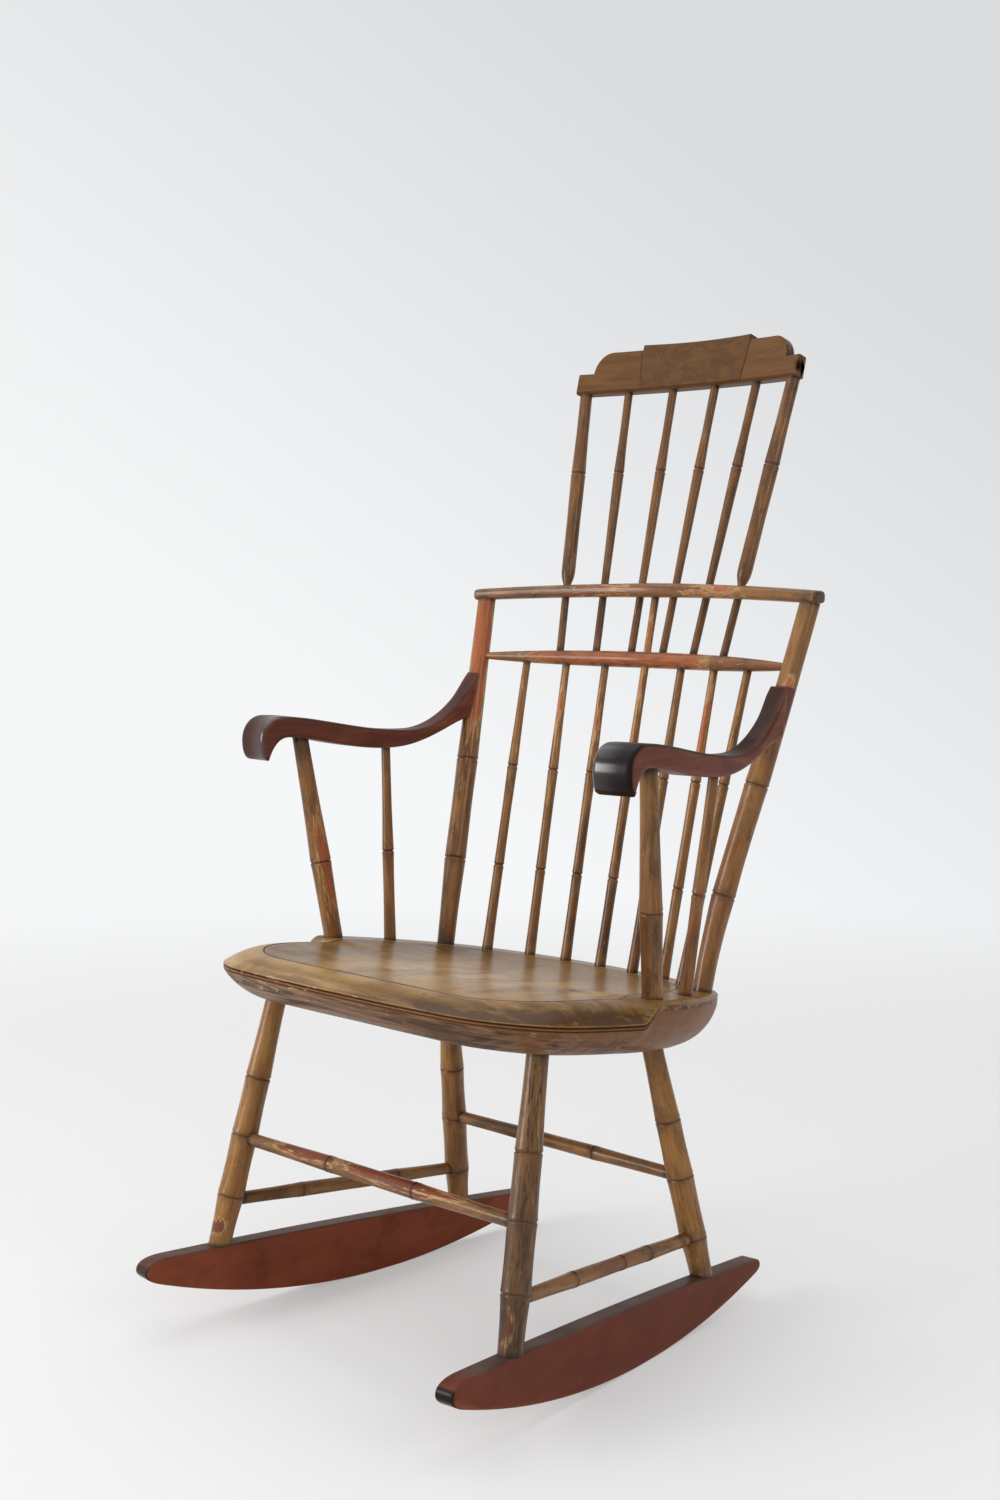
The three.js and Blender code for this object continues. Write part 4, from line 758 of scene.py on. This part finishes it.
# From where to where along the back post the arm's end covers it
arm_join = [(ARM_Z + rise - post_foot[2]) / post_axis[2] for rise in (24, 76)]

# The sticks of the back, each placed by its share of the outermost one's distance
MIDDLE_SPINDLE = 3
SPINDLE_FOOT = [-1, -0.69, -0.345, 0, 0.345, 0.69, 1]
SPINDLE_TOP = [-1, -0.67, -0.345, 0, 0.345, 0.67, 1]
SPINDLE_BACK = [1, 0.27, 0.08, 0, 0.08, 0.27, 1]
COMB_FOOT = [-1, -0.594, -0.192, 0.192, 0.594, 1]
COMB_TOP = [-1, -0.618, -0.203, 0.203, 0.618, 1]


def lower_half_thick(x):
    """Half the lower rail's height and half its depth"""
    share = np.clip(np.abs(x) / (post_low[0] - 13.4), 0, 1)
    return lerp(9, 20, 1 - share**3) / 2, lerp(9, 19, 1 - share**3) / 2


def seat_spindle(index):
    foot = on_seat(SPINDLE_FOOT[index] * 154, 201 - 38 * SPINDLE_BACK[index])
    if index == MIDDLE_SPINDLE:
        return foot, at_height(foot, upper_mid, upper_mid[2] - 9)
    rail = on_lower(SPINDLE_TOP[index] * 174)
    return foot, at_height(foot, rail, rail[2] - lower_half_thick(rail[0])[0])


def comb_stick(index):
    rail = on_lower(COMB_FOOT[index] * COMB_FOOT_X)
    top = on_crest(COMB_TOP[index] * COMB_TOP_X)
    return at_height(rail, top, rail[2] + lower_half_thick(rail[0])[0]), top


deck_feet = [(post_foot, 11.0), (arm_foot, 11.4), (arm_spindle_foot, 7.6)]
deck_feet += [(mirror(p), r) for p, r in deck_feet]
deck_feet += [(seat_spindle(i)[0], SPINDLE_FOOT_RADIUS) for i in range(SEAT_SPINDLES)]


def on_rocker(start, axis, offset):
    """How far along a leg each point of its foot goes to meet the rocker's top"""
    run = vec(-math.sin(toe_in), math.cos(toe_in), 0)
    gone = np.zeros(offset.shape[:-1])
    for _ in range(6):
        p = start + offset + axis * gone[..., None]
        along = (p - vec(*FRONT_FOOT, 0)) @ run
        gone = gone + (rocker_top(along) + 0.3 - p[..., 2]) / axis[2]
    return gone


def post_bend(share):
    """How far the post bows out of its straight line, at most a quarter of the way up"""
    share = np.clip(share * post_share, 0, 1)
    return (share * (1 - share) ** 3 / (0.25 * 0.75**3))[:, None] * vec(-3.6, -5.1, 0)


build_seat(seat_paint())
# One red paint in two copies, as painted light and shade: paler for the left rocker, whose inner face is
# shaded, darker for the right one, whose outer face is lit; the left nose is brown, not black
rocker_mats = (rocker_paint("rocker_paint_right_painted_shade", (98, 46, 29), (108, 52, 33), (32, 21, 18), 0.75),
               rocker_paint("rocker_paint_left_painted_light", (122, 60, 38), (134, 68, 43), (60, 40, 32), 0.1))
arm_mats = (arm_paint("arm_paint_right", ((34, 18, 13), (20, 11, 9)), (21, 14, 12)),
            arm_paint("arm_paint_left", ((70, 36, 26), (50, 26, 19)), (60, 36, 29)))
crest_mat = crest_paint()

# The post's top, where it stops inside the upper rail, and how much of its full line that is
post_end = at_height(post_foot, post_top, UPPER_RAIL_Z - 7.5)
post_share = (post_end[2] - post_foot[2]) / (post_top[2] - post_foot[2])
post_rings = [0.24 / post_share, 0.52 / post_share]
post_radius = bamboo([(0, 11.0), (post_rings[0], 13.4), (post_rings[1], 13.4), (1 / post_share, POST_HEAD)],
                     STOUT_WAIST)

RUNG_END = 7.4
rung = {"below": 5, "above": 5, "grime": 0.6}

for tag, left in SIDES:
    seed = 0.37 if left else 0.81

    # Legs and side stretcher
    leg = {"sides": 48, "below": 0, "above": 4, "foot": on_rocker, "left": left}
    stick(f"front_leg_{tag}", front_foot, front_leg_top, bamboo(LEG_THICK, STOUT_WAIST), LEG_RINGS,
          leg_mat if left else dark_leg_mat, [f"leg_front_{tag}"], seed=seed, grime=0.8, **leg,
          wear=[(0.075, 0.035, -1.5, 0.7) if left else (0.09, 0.06, -1.2, 0.8)], soil=0.0 if left else 0.65)
    stick(f"rear_leg_{tag}", rear_foot, rear_leg_top, bamboo(REAR_LEG_THICK, STOUT_WAIST), REAR_LEG_RINGS,
          leg_mat, [f"leg_rear_{tag}"], seed=seed + 0.2, grime=0.7, **leg)
    a = lerp(front_foot, front_leg_top, 0.175)
    b = lerp(rear_foot, rear_leg_top, 0.165)
    a, b = a + unit(b - a) * LEG_RADIUS, b - unit(b - a) * LEG_RADIUS
    scores = [0.27, 0.73] if left else [0.27, 0.56, 0.73, 0.95]
    marks = [(0, RUNG_END), (0.27, 8.6), (0.73, 8.6), (1, RUNG_END)]
    stick(f"side_rung_{tag}", a, b, bamboo(marks, STOUT_WAIST), scores, rung_mat, [f"stretcher_side_{tag}"],
          seed=seed + 0.4, left=left, **rung)

    # Back post, flat in front from below the arm upwards
    stick(f"post_{tag}", post_foot, post_end, post_radius, post_rings, stick_mat, [f"back_post_{tag}"],
          seed=seed + 0.6, sides=64, bend=post_bend, left=left, above=1.5,
          flat=(-arm_along, POST_FLAT_OFFSET, 0.62 / post_share), stain=None if left else arm_join,
          wear=[(0.87, 0.24, -0.8, 1.1) if left else (0.78, 0.04, -2.4, 0.7)])

    # Arm supports
    stick(f"arm_prop_{tag}", arm_foot, arm_top, bamboo([(0, 11.4), (0.385, 12.6), (1, 9.4)], STOUT_WAIST),
          [0.385], stick_mat, [f"arm_post_{tag}"], seed=seed + 0.8, sides=48, left=left,
          wear=[(0.35, 0.3, 0.1, 0.85)] if left else [])
    stick(f"arm_rod_{tag}", arm_spindle_foot, arm_spindle_top,
          bamboo([(0, 7.6), (0.46, 7.2), (1, 5.6)], SLIM_WAIST), [0.46], stick_mat, [f"arm_spindle_{tag}"],
          seed=seed + 0.9, left=left)

for name, foot, top, share, radius, node, seed in (
        ("front", front_foot, front_leg_top, 0.425, 9.3, "stretcher_front", 0.15),
        ("rear", rear_foot, rear_leg_top, 0.427, 8.5, "stretcher_rear", 0.55)):
    a = lerp(foot, top, share)
    a = a - vec(LEG_RADIUS, 0, 0)
    wear = [(0.25, 0.17, -0.4, 0.8), (0.62, 0.25, -0.4, 0.85)] if name == "front" else []
    marks = [(0, RUNG_END), (1 / 3, radius), (2 / 3, radius), (1, RUNG_END)]
    stick(f"{name}_rung", mirror(a), a, bamboo(marks, STOUT_WAIST), [1 / 3, 2 / 3], rung_mat, [node],
          seed=seed, wear=wear, **rung)

for i in range(SEAT_SPINDLES):
    foot, top = seat_spindle(i)
    tall = i == MIDDLE_SPINDLE
    k = (LOWER_RAIL_Z - 10 - foot[2]) / (top[2] - foot[2]) if tall else 1.0
    marks = [(0, SPINDLE_FOOT_RADIUS), (0.29 * k, 6.3), (0.635 * k, 6.3), (k, SPINDLE_HEAD)]
    marks += [(1, SPINDLE_HEAD)] if tall else []
    stick(f"back_stick_{i + 1}", foot, top, bamboo(marks, SLIM_WAIST), [0.29 * k, 0.635 * k], stick_mat,
          [f"seat_spindle_{i + 1}"], seed=0.11 * i + 0.3, grime=0.25,
          wear=[(0.8, 0.25, -1.9, 0.6 if i in (1, 2, 3, 5) else 0.3)])

UPPER_TOP = on_upper(COMB_TOP_X)[2] + 9
for i in range(COMB_STICKS):
    foot, top = comb_stick(i)
    rise = top[2] - foot[2]
    over = (UPPER_TOP + 0.6 - foot[2]) / rise
    node = (lerp(UPPER_TOP, CREST_Z, 0.58) - foot[2]) / rise
    if i in COMB_POSTS:
        low, high = over + 7.4 / rise, over + 15.4 / rise
        marks = [(low, 7.8), (high, 8.8), (lerp(high, node, 0.5), 8.6), (node, 9.2),
                 (lerp(node, 1, 0.5), COMB_POST_HEAD), (1, COMB_POST_HEAD)]
        node_name = "comb_post_left" if i == 0 else "comb_post_right"
    else:
        marks = [(node, 6.5), (lerp(node, 1, 0.4), COMB_HEAD), (1, COMB_HEAD)]
        node_name = f"comb_spindle_{i}"
    radius = shaped([(0, COMB_TENON), (over, COMB_TENON)] + marks)
    stick(f"comb_stick_{i + 1}", foot, top, radius, [node], comb_mat, [node_name], seed=0.13 * i + 0.5,
          above=4, grime=0.25)


# Rails and crest

def stick_shade(points, sticks, spread=1.6):
    """A mark that is strong close round each stick (foot, top, radius) where it enters a board"""
    mark = np.zeros(len(points))
    for a, b, radius in sticks:
        axis = unit(b - a)
        off = points - a
        gap = np.linalg.norm(off - (off @ axis)[:, None] * axis, axis=1) - radius
        mark = np.maximum(mark, np.exp(-np.maximum(gap, 0) / spread))
    return mark


def rail(name, end, full, centre, girth, power, node, sticks, worn, seed, sides=40):
    """A bar along x with a rounded section and rounded tips past full"""
    tip = np.sin(np.linspace(0, 1, 8) * math.pi / 2)
    right = np.concatenate([np.linspace(0, full, 90), full + (end - full) * tip[1:]])
    xs = np.concatenate([-right[::-1], right[1:]])
    theta = np.arange(sides) / sides * 2 * math.pi
    mid = centre(xs)
    thick, deep = girth(xs)
    cut = np.clip((np.abs(xs) - full) / max(end - full, 1e-6), 0, 1) * (end > full)
    inset = 1 - np.sqrt(1 - cut**2)
    c, s = np.cos(theta), np.sin(theta)
    y = np.sign(c) * np.abs(c) ** (2 / power)
    z = np.sign(s) * np.abs(s) ** (2 / power)
    wave = 1 + 0.008 * np.sin(xs / 31 + seed)
    points = np.stack([xs[:, None] + 0 * y, mid[:, 1:2] + (deep * wave - 4.5 * inset)[:, None] * y,
                       mid[:, 2:3] + (thick * wave - 1.5 * inset)[:, None] * z], -1).reshape(-1, 3)
    edge = np.tile(bump_at(np.abs(y) - np.abs(z), 0, 0.35), len(xs))
    marks = {
        "grain": points[:, [1, 2, 0]] * MM + vec(0.3, 0.1, 0) * seed,
        "score": 0 * points[:, 0],
        "ends": np.maximum(0.6 * stick_shade(points, sticks), 0.6 * np.repeat(cut > 0.55, sides)),
        "dirt": 0.5 * stick_shade(points, sticks, 10) + 0.45 * edge * np.tile(z > 0, len(xs)),
        "worn": worn(points),
        "tone": np.full(len(points), 0.5),
    }
    piece(name, points, tube_faces(len(xs), sides), marks, rail_mat, [node], 50)


comb = [comb_stick(i) + (COMB_TENON,) for i in range(COMB_STICKS)]
seat_sticks = [seat_spindle(i) + (SPINDLE_HEAD,) for i in range(SEAT_SPINDLES)]
posts = [(post_foot, post_top, POST_HEAD), (mirror(post_foot), mirror(post_top), POST_HEAD)]
upper_end = post_top[0] + 13
lower_end = post_low[0] - 9

rail("top_rail", upper_end, upper_end - 4.5, on_upper,
     lambda x: (lerp(18, 15, np.abs(x) / upper_end) / 2, 12.5 + 0 * x), 3.2, "upper_rail",
     comb + [seat_sticks[MIDDLE_SPINDLE]] + posts,
     lambda p: 0.5 * bump_at(p[:, 0], 110, 60) + 0.4 * bump_at(p[:, 0], -60, 70), 1.3)
rail("mid_rail", lower_end, lower_end, on_lower, lower_half_thick, 2.0, "lower_rail",
     comb + seat_sticks, lambda p: 1.1 * bump_at(p[:, 0], -20, 135), 2.7, sides=36)

crest_up = vec(0, math.sin(crest_lean), math.cos(crest_lean))
crest_front = vec(0, -math.cos(crest_lean), math.sin(crest_lean))


def crest_height(x):
    """The tablet's height, and beside it the round shoulder's and then the low ear's"""
    x = np.abs(x)
    share = np.clip((x - SHOULDER_AT) / (EAR_AT - SHOULDER_AT), 0, 1)
    shoulder = lerp(EAR_HEIGHT, SHOULDER_HEIGHT, np.sqrt(1 - share**2))
    tablet = CREST_HEIGHT - 1.8 * (1 - (x / TABLET_HALF) ** 2)
    return np.where(x <= TABLET_HALF, tablet, shoulder)


def build_crest():
    # Stations from the middle outwards, closer together where the outline or the front has a step
    shoulder = SHOULDER_AT + (EAR_AT - SHOULDER_AT) * np.sin(np.linspace(0, 1, 16)[1:] * math.pi / 2)
    half = np.concatenate([np.linspace(0, 74, 26), np.arange(75, 83.01, 0.4), [83.5], np.arange(84, 92, 0.5),
                           np.linspace(92, SHOULDER_AT, 12), shoulder, [150.6], np.linspace(152, 166, 8),
                           np.linspace(166.8, 171.4, 9), [171.8, CREST_END]])
    xs = np.concatenate([-half[:0:-1], half])
    end_round = np.sqrt(np.clip(1 - (np.abs(xs) - CREST_END + 1).clip(0, 1) ** 2, 0.04, 1))
    height = crest_height(xs)
    thick = CREST_THICK / 2
    rows = np.linspace(0, 1, 26)
    arc = np.linspace(0, math.pi / 2, 6)
    rings, shades = [], []
    for x, h, tip in zip(xs, height, end_round):
        front = [(3 + (h - 5) * t, thick) for t in rows]
        top = [(h - 2 + 2 * math.sin(a), thick - 2 + 2 * math.cos(a)) for a in arc[1:]]
        over = [(h - 2 + 2 * math.cos(a), -(thick - 2) - 2 * math.sin(a)) for a in arc]
        back = [(lerp(h - 2, 1, t), -thick) for t in np.linspace(0, 1, 14)[1:]]
        under = [(0, -thick + 1), (0, -thick + 6), (0, 0), (0, thick - 4.5), (0.5, thick - 3),
                 (1.6, thick - 1.3)]
        section = np.array(front + top + over + back + under)
        rise, out = section.T
        line = 78 + 8 * rise / CREST_HEIGHT
        on_front = out > thick - 0.3
        dent = np.where(on_front, bump_at(abs(x), line, 0.75), 0)
        inside = smooth(abs(x), line + 0.4, line - 0.4) * on_front
        out = out * np.where(np.abs(out) > thick - 1.2, tip, 1) - 0.75 * dent + 0.45 * inside * (rise < 60.5)
        chip = on_front * smooth(x, 165.5, 171.5) * bump_at(rise, 13, 7) * (1 + 0.35 * np.sin(rise * 1.9))
        out = out - 6.5 * chip
        rings.append(on_crest(np.full(len(rise), x)) + rise[:, None] * crest_up + out[:, None] * crest_front)
        # The tablet, the low edge, the top edge, the scored line, and the hollow, which is painted as shade
        shades.append((inside, smooth(rise, 12, 0) * (out > 0), smooth(rise, h - 3, h - 0.5), dent,
                       smooth(chip, 0.2, 0.55)))
    points = np.concatenate(rings)
    marks = dict(zip(("tablet", "low", "rim", "score", "hollow"), np.concatenate(shades, 1)))
    marks["grain"] = points * MM
    tenons = [(a, b, COMB_POST_HEAD if i in COMB_POSTS else COMB_HEAD) for i, (a, b, _) in enumerate(comb)]
    marks["low"] = np.maximum(marks["low"], stick_shade(points, tenons) * (points[:, 2] < CREST_Z + 2))
    faces = tube_faces(len(rings), len(rings[0]))
    piece("comb_board", points, faces, marks, crest_mat, ["crest"], 38)


build_crest()


# Rockers

def bezier(points, count):
    points = np.array(points, float)[:, None]
    t = np.linspace(0, 1, count, endpoint=False)[:, None]
    while len(points) > 1:
        points = lerp(points[:-1], points[1:], t)
    return points[0]


def rocker_outline():
    front, rear = -ROCKER_FRONT, leg_spacing + ROCKER_REAR
    nose, tail = front + NOSE, rear - TAIL
    runs = np.linspace(nose, tail, 130, endpoint=False)
    bottom = np.column_stack([runs, sole(runs)])
    low, high = sole(tail), rocker_top(tail)
    middle = (low + high) / 2
    heel = [bezier([(tail, low), (rear, sole(rear)), (rear, middle)], 12),
            bezier([(rear, middle), (rear, rocker_top(rear)), (tail, high)], 12)]
    start = nose + NOSE
    back = np.linspace(tail, start, 110, endpoint=False)
    top = np.column_stack([back, rocker_top(back)])
    low, high = sole(nose), rocker_top(nose)
    middle = (low + high) / 2
    toe = [bezier([(start, rocker_top(start)), (front, high), (front, middle)], 20),
           bezier([(front, middle), (front, sole(front) + 1), (nose, low)], 14)]
    return np.concatenate([bottom, *heel, top, *toe])


def arris_mark(rim, near, reach):
    """Strong along a board's edges and fading over its faces"""
    on_face = np.where(near > 0, bump_at(near, 0, reach), (rim < 0.01) * 0.8)
    return np.maximum(4 * rim * (1 - rim), on_face)


def rocker_marks(local, normal, rim, near):
    along, height, _ = local.T
    up = smooth(normal[:, 1], 0.5, 0.85) * (rim > 0.3)
    down = smooth(-normal[:, 1], 0.3, 0.7) * (rim > 0.3)
    low = np.clip(1 - (height - sole(along)) / 9, 0, 1)
    return {
        "top": up,
        "tip": smooth(-along, 50, 92),
        "rim": 0.75 * arris_mark(rim, near, 3.2) + 0.25 * rim,
        "warm": 0.75 * np.maximum(down, low) + 0.2 * smooth(along, 430, 560)
        + 0.45 * smooth(-along, 55, 95) * (rim < 0.5),
        "nose": smooth(-along, 90, 103) * np.where(rim > 0.3, 1 - 0.5 * up, 0.55),
    }


ROCKER_OUTLINE = rocker_outline()
for tag, left in SIDES:
    slab(f"rocker_board_{tag}", ROCKER_OUTLINE, lambda a: ROCKER_THICK / 2 + 0 * a, 1.8, rocker_place,
         rocker_mats[left], [f"rocker_{tag}"], rocker_marks, left, rows=5, spacing=7)


# Arms

def arm_outline():
    """The arm from the side: its top, its end against the post, its underside and the scroll in front"""
    e = arm_end
    crown, throat = (-0.15 * e, ARM_SCROLL_TOP), (-0.105 * e, 4)
    top = np.concatenate([
        bezier([crown, (0.04 * e, 28.6), (0.3 * e, 3.5), (0.57 * e, 3.5)], 50),
        bezier([(0.57 * e, 3.5), (0.715 * e, 3.5), (0.87 * e, 31.6), (e, 93)], 60),
    ])
    under = np.concatenate([
        bezier([(e, 28), (0.78 * e, 5.6), (0.64 * e, ARM_LOW), (ARM_LOW_AT * e, ARM_LOW)], 50),
        bezier([(ARM_LOW_AT * e, ARM_LOW), (0.22 * e, ARM_LOW), (0.04 * e, 2), throat], 50),
    ])
    top = top[before_flat(top[:, 0], top[:, 1]) > 0.5]
    under = under[before_flat(under[:, 0], under[:, 1]) > 0.5]
    slope = math.tan(math.atan2(post_axis @ arm_along, post_axis[2]))
    edge = float(before_flat(0.0, 0.0)) / -np.dot(arm_along, post_flat)
    heights = np.linspace(top[-1, 1] + 1.2, under[0, 1] - 0.3, 26)
    flat = np.column_stack([edge + heights * slope, heights])
    return np.concatenate([
        top, flat, under,
        bezier([throat, (-49, 4), ARM_CURL], 14),
        bezier([ARM_CURL, (-66.5, ARM_CURL[1]), (ARM_NOSE, -12.4), (ARM_NOSE, 0)], 12),
        bezier([(ARM_NOSE, 0), (ARM_NOSE, 17.7), (-58.1, ARM_SCROLL_TOP), crown], 18),
    ])


def arm_half_width(along):
    width = lerp(ARM_FRONT_WIDTH, ARM_REAR_WIDTH, smooth(along, 0, arm_end))
    return width / 2 - 2.6 * smooth(along, arm_end - 24, arm_end - 7)


def on_arm(along, height, across):
    """A place on the arm, from how far along, up and across it is"""
    directions = (along, arm_along), (height, vec(0, 0, 1)), (across, arm_across)
    return arm_top + sum(np.multiply.outer(far, direction) for far, direction in directions)


def before_flat(along, height, across=0.0):
    """How far in front of the back post's flat a place on the arm lies"""
    return (on_arm(along, height, across) - post_foot) @ post_flat - POST_FLAT_OFFSET - 0.3


def arm_place(along, height, across):
    back = np.minimum(0, before_flat(along, height, across))
    return on_arm(along, height, across) - (back / np.dot(arm_along, post_flat))[:, None] * arm_along


def arm_marks(local, normal, rim, near):
    along, height, across = local.T
    upper = smooth(normal[:, 1] - 0.9 * normal[:, 0], 0.35, 0.7) * (rim > 0.45)
    front = smooth(-normal[:, 0], -0.3, 0.3) * (rim > 0.45) * smooth(-along, 22, 50)
    across = across / arm_half_width(along)
    outward = (0.6 * smooth(across, 0.2, 1) + 0.2 * smooth(-across, 0.5, 1)) * smooth(along, 60, 160)
    return {
        "top": upper * (0.9 - 0.75 * outward),
        "fade": smooth(height, 62, 82) * smooth(along, 100, 150),
        "nose": 0.95 * front,
        "gloss": front * smooth(-across, -0.5, 1),
        "worn": (0.45 * arris_mark(rim, near, 3) * smooth(along, -30, 60)
                 + 0.2 * bump_at(along, 150, 90)) * (1 - upper),
    }


def arm_crisp(outline):
    """1 where the board feathers out against the back post, and along the post's flat"""
    depth = before_flat(outline[:, 0], outline[:, 1])
    return 1 - smooth(depth, 1, 22)


ARM_OUTLINE = arm_outline()
for tag, left in SIDES:
    slab(f"arm_board_{tag}", ARM_OUTLINE, arm_half_width, 5.5, arm_place, arm_mats[left], [f"arm_{tag}"],
         arm_marks, left, rows=9, spacing=5, crisp=arm_crisp)


# Floor, background and lights

FLOOR_SIZE, FLOOR_Z = 12, -0.0004
FADE_START, FADE_END = 0.9, 3.0
FLOOR_GLOW, AMBIENT = 0.34, 0.48
SHADED_TOWARDS = (0.73, 0.68, 1.4)


def build_floor():
    """A pale floor that fades into the background further out"""
    mesh = bpy.data.meshes.new("floor")
    work = bmesh.new()
    bmesh.ops.create_grid(work, x_segments=24, y_segments=24, size=FLOOR_SIZE)
    work.to_mesh(mesh)
    work.free()
    item = add_object("floor", mesh)
    item.location = (0, 0, FLOOR_Z)
    item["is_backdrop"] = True
    p = Paint("floor_paint")
    seen = p.seen_directly()
    p.put_all(p.shader, {"Base Color": p.mix(seen, (233, 233, 234), (186, 186, 186)), "Roughness": 0.9,
                         "Specular IOR Level": 0.1, "Emission Color": (255, 255, 255),
                         "Emission Strength": p.times(seen, FLOOR_GLOW)})
    distance = p.new("VectorMath", {0: p.new("TexCoord", out="Object")}, "Value", operation="LENGTH")
    faded = p.new("MixShader", {0: p.ramp(distance, FADE_START, FADE_END), 1: p.shader.outputs[0],
                                2: p.new("BsdfTransparent")})
    p.put(p.nodes["Material Output"].inputs["Surface"], faded)
    mesh.materials.append(p.material)


def build_world():
    """Even light on the object, and behind it a pale backdrop that darkens gently towards the upper right"""
    world = bpy.data.worlds.new("studio")
    bpy.context.scene.world = world
    world.use_nodes = True
    g = Graph(world.node_tree)
    facing = g.new("VectorMath", {0: g.new("TexCoord", out="Generated"), 1: SHADED_TOWARDS}, "Value",
                   operation="DOT_PRODUCT")
    backdrop = g.nodes["Background"]
    shade = g.ramp(facing, -0.2, 0.4, "LINEAR")
    g.put(backdrop.inputs["Color"], g.mix(shade, (246, 247, 248), (219, 220, 222)))
    ambient = g.new("Background", {"Color": (255, 255, 255), "Strength": AMBIENT})
    mixed = g.new("MixShader", {0: g.seen_directly(), 1: ambient, 2: backdrop.outputs[0]})
    g.put(g.nodes["World Output"].inputs["Surface"], mixed)


def softbox(name, place, aim, size, watts):
    light = bpy.data.lights.new(name, "AREA")
    light.shape = "RECTANGLE"
    light.size, light.size_y = size
    light.energy = watts
    item = add_object(name, light)
    item.location = place
    item.rotation_euler = (Vector(aim) - Vector(place)).to_track_quat("-Z", "Y").to_euler()


build_floor()
build_world()
softbox("overhead", (-0.4, -0.3, 2.9), (-0.1, -0.1, 0.2), (3.4, 3.4), 50)
softbox("left_side", (-1.5, -2.8, 1.25), (0, 0, 0.6), (1.2, 1.3), 54)
softbox("right_side", (2.6, -0.2, 1.7), (0, 0.1, 0.8), (0.4, 1.2), 12)

# Camera, at the photograph's viewing angle
AZIMUTH, ELEVATION = math.radians(43.24), math.radians(5.14)
CAMERA_AT = vec(1.4751, -1.5909, 0.8509)
LENS, SENSOR_WIDTH = 45.6, 36

level_reach = math.cos(ELEVATION)
back = vec(math.sin(AZIMUTH) * level_reach, -math.cos(AZIMUTH) * level_reach, math.sin(ELEVATION))
right = vec(math.cos(AZIMUTH), math.sin(AZIMUTH), 0)
up = np.cross(back, right)
lens = bpy.data.cameras.new("camera")
lens.sensor_width, lens.lens = SENSOR_WIDTH, LENS
lens.clip_start, lens.clip_end = 0.05, 60
camera = add_object("camera", lens)
turned = np.column_stack([right, up, back, CAMERA_AT])
camera.matrix_world = Matrix(turned.tolist() + [[0, 0, 0, 1]])
bpy.context.scene.camera = camera
bpy.context.scene.view_settings.view_transform = "Standard"

low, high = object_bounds()
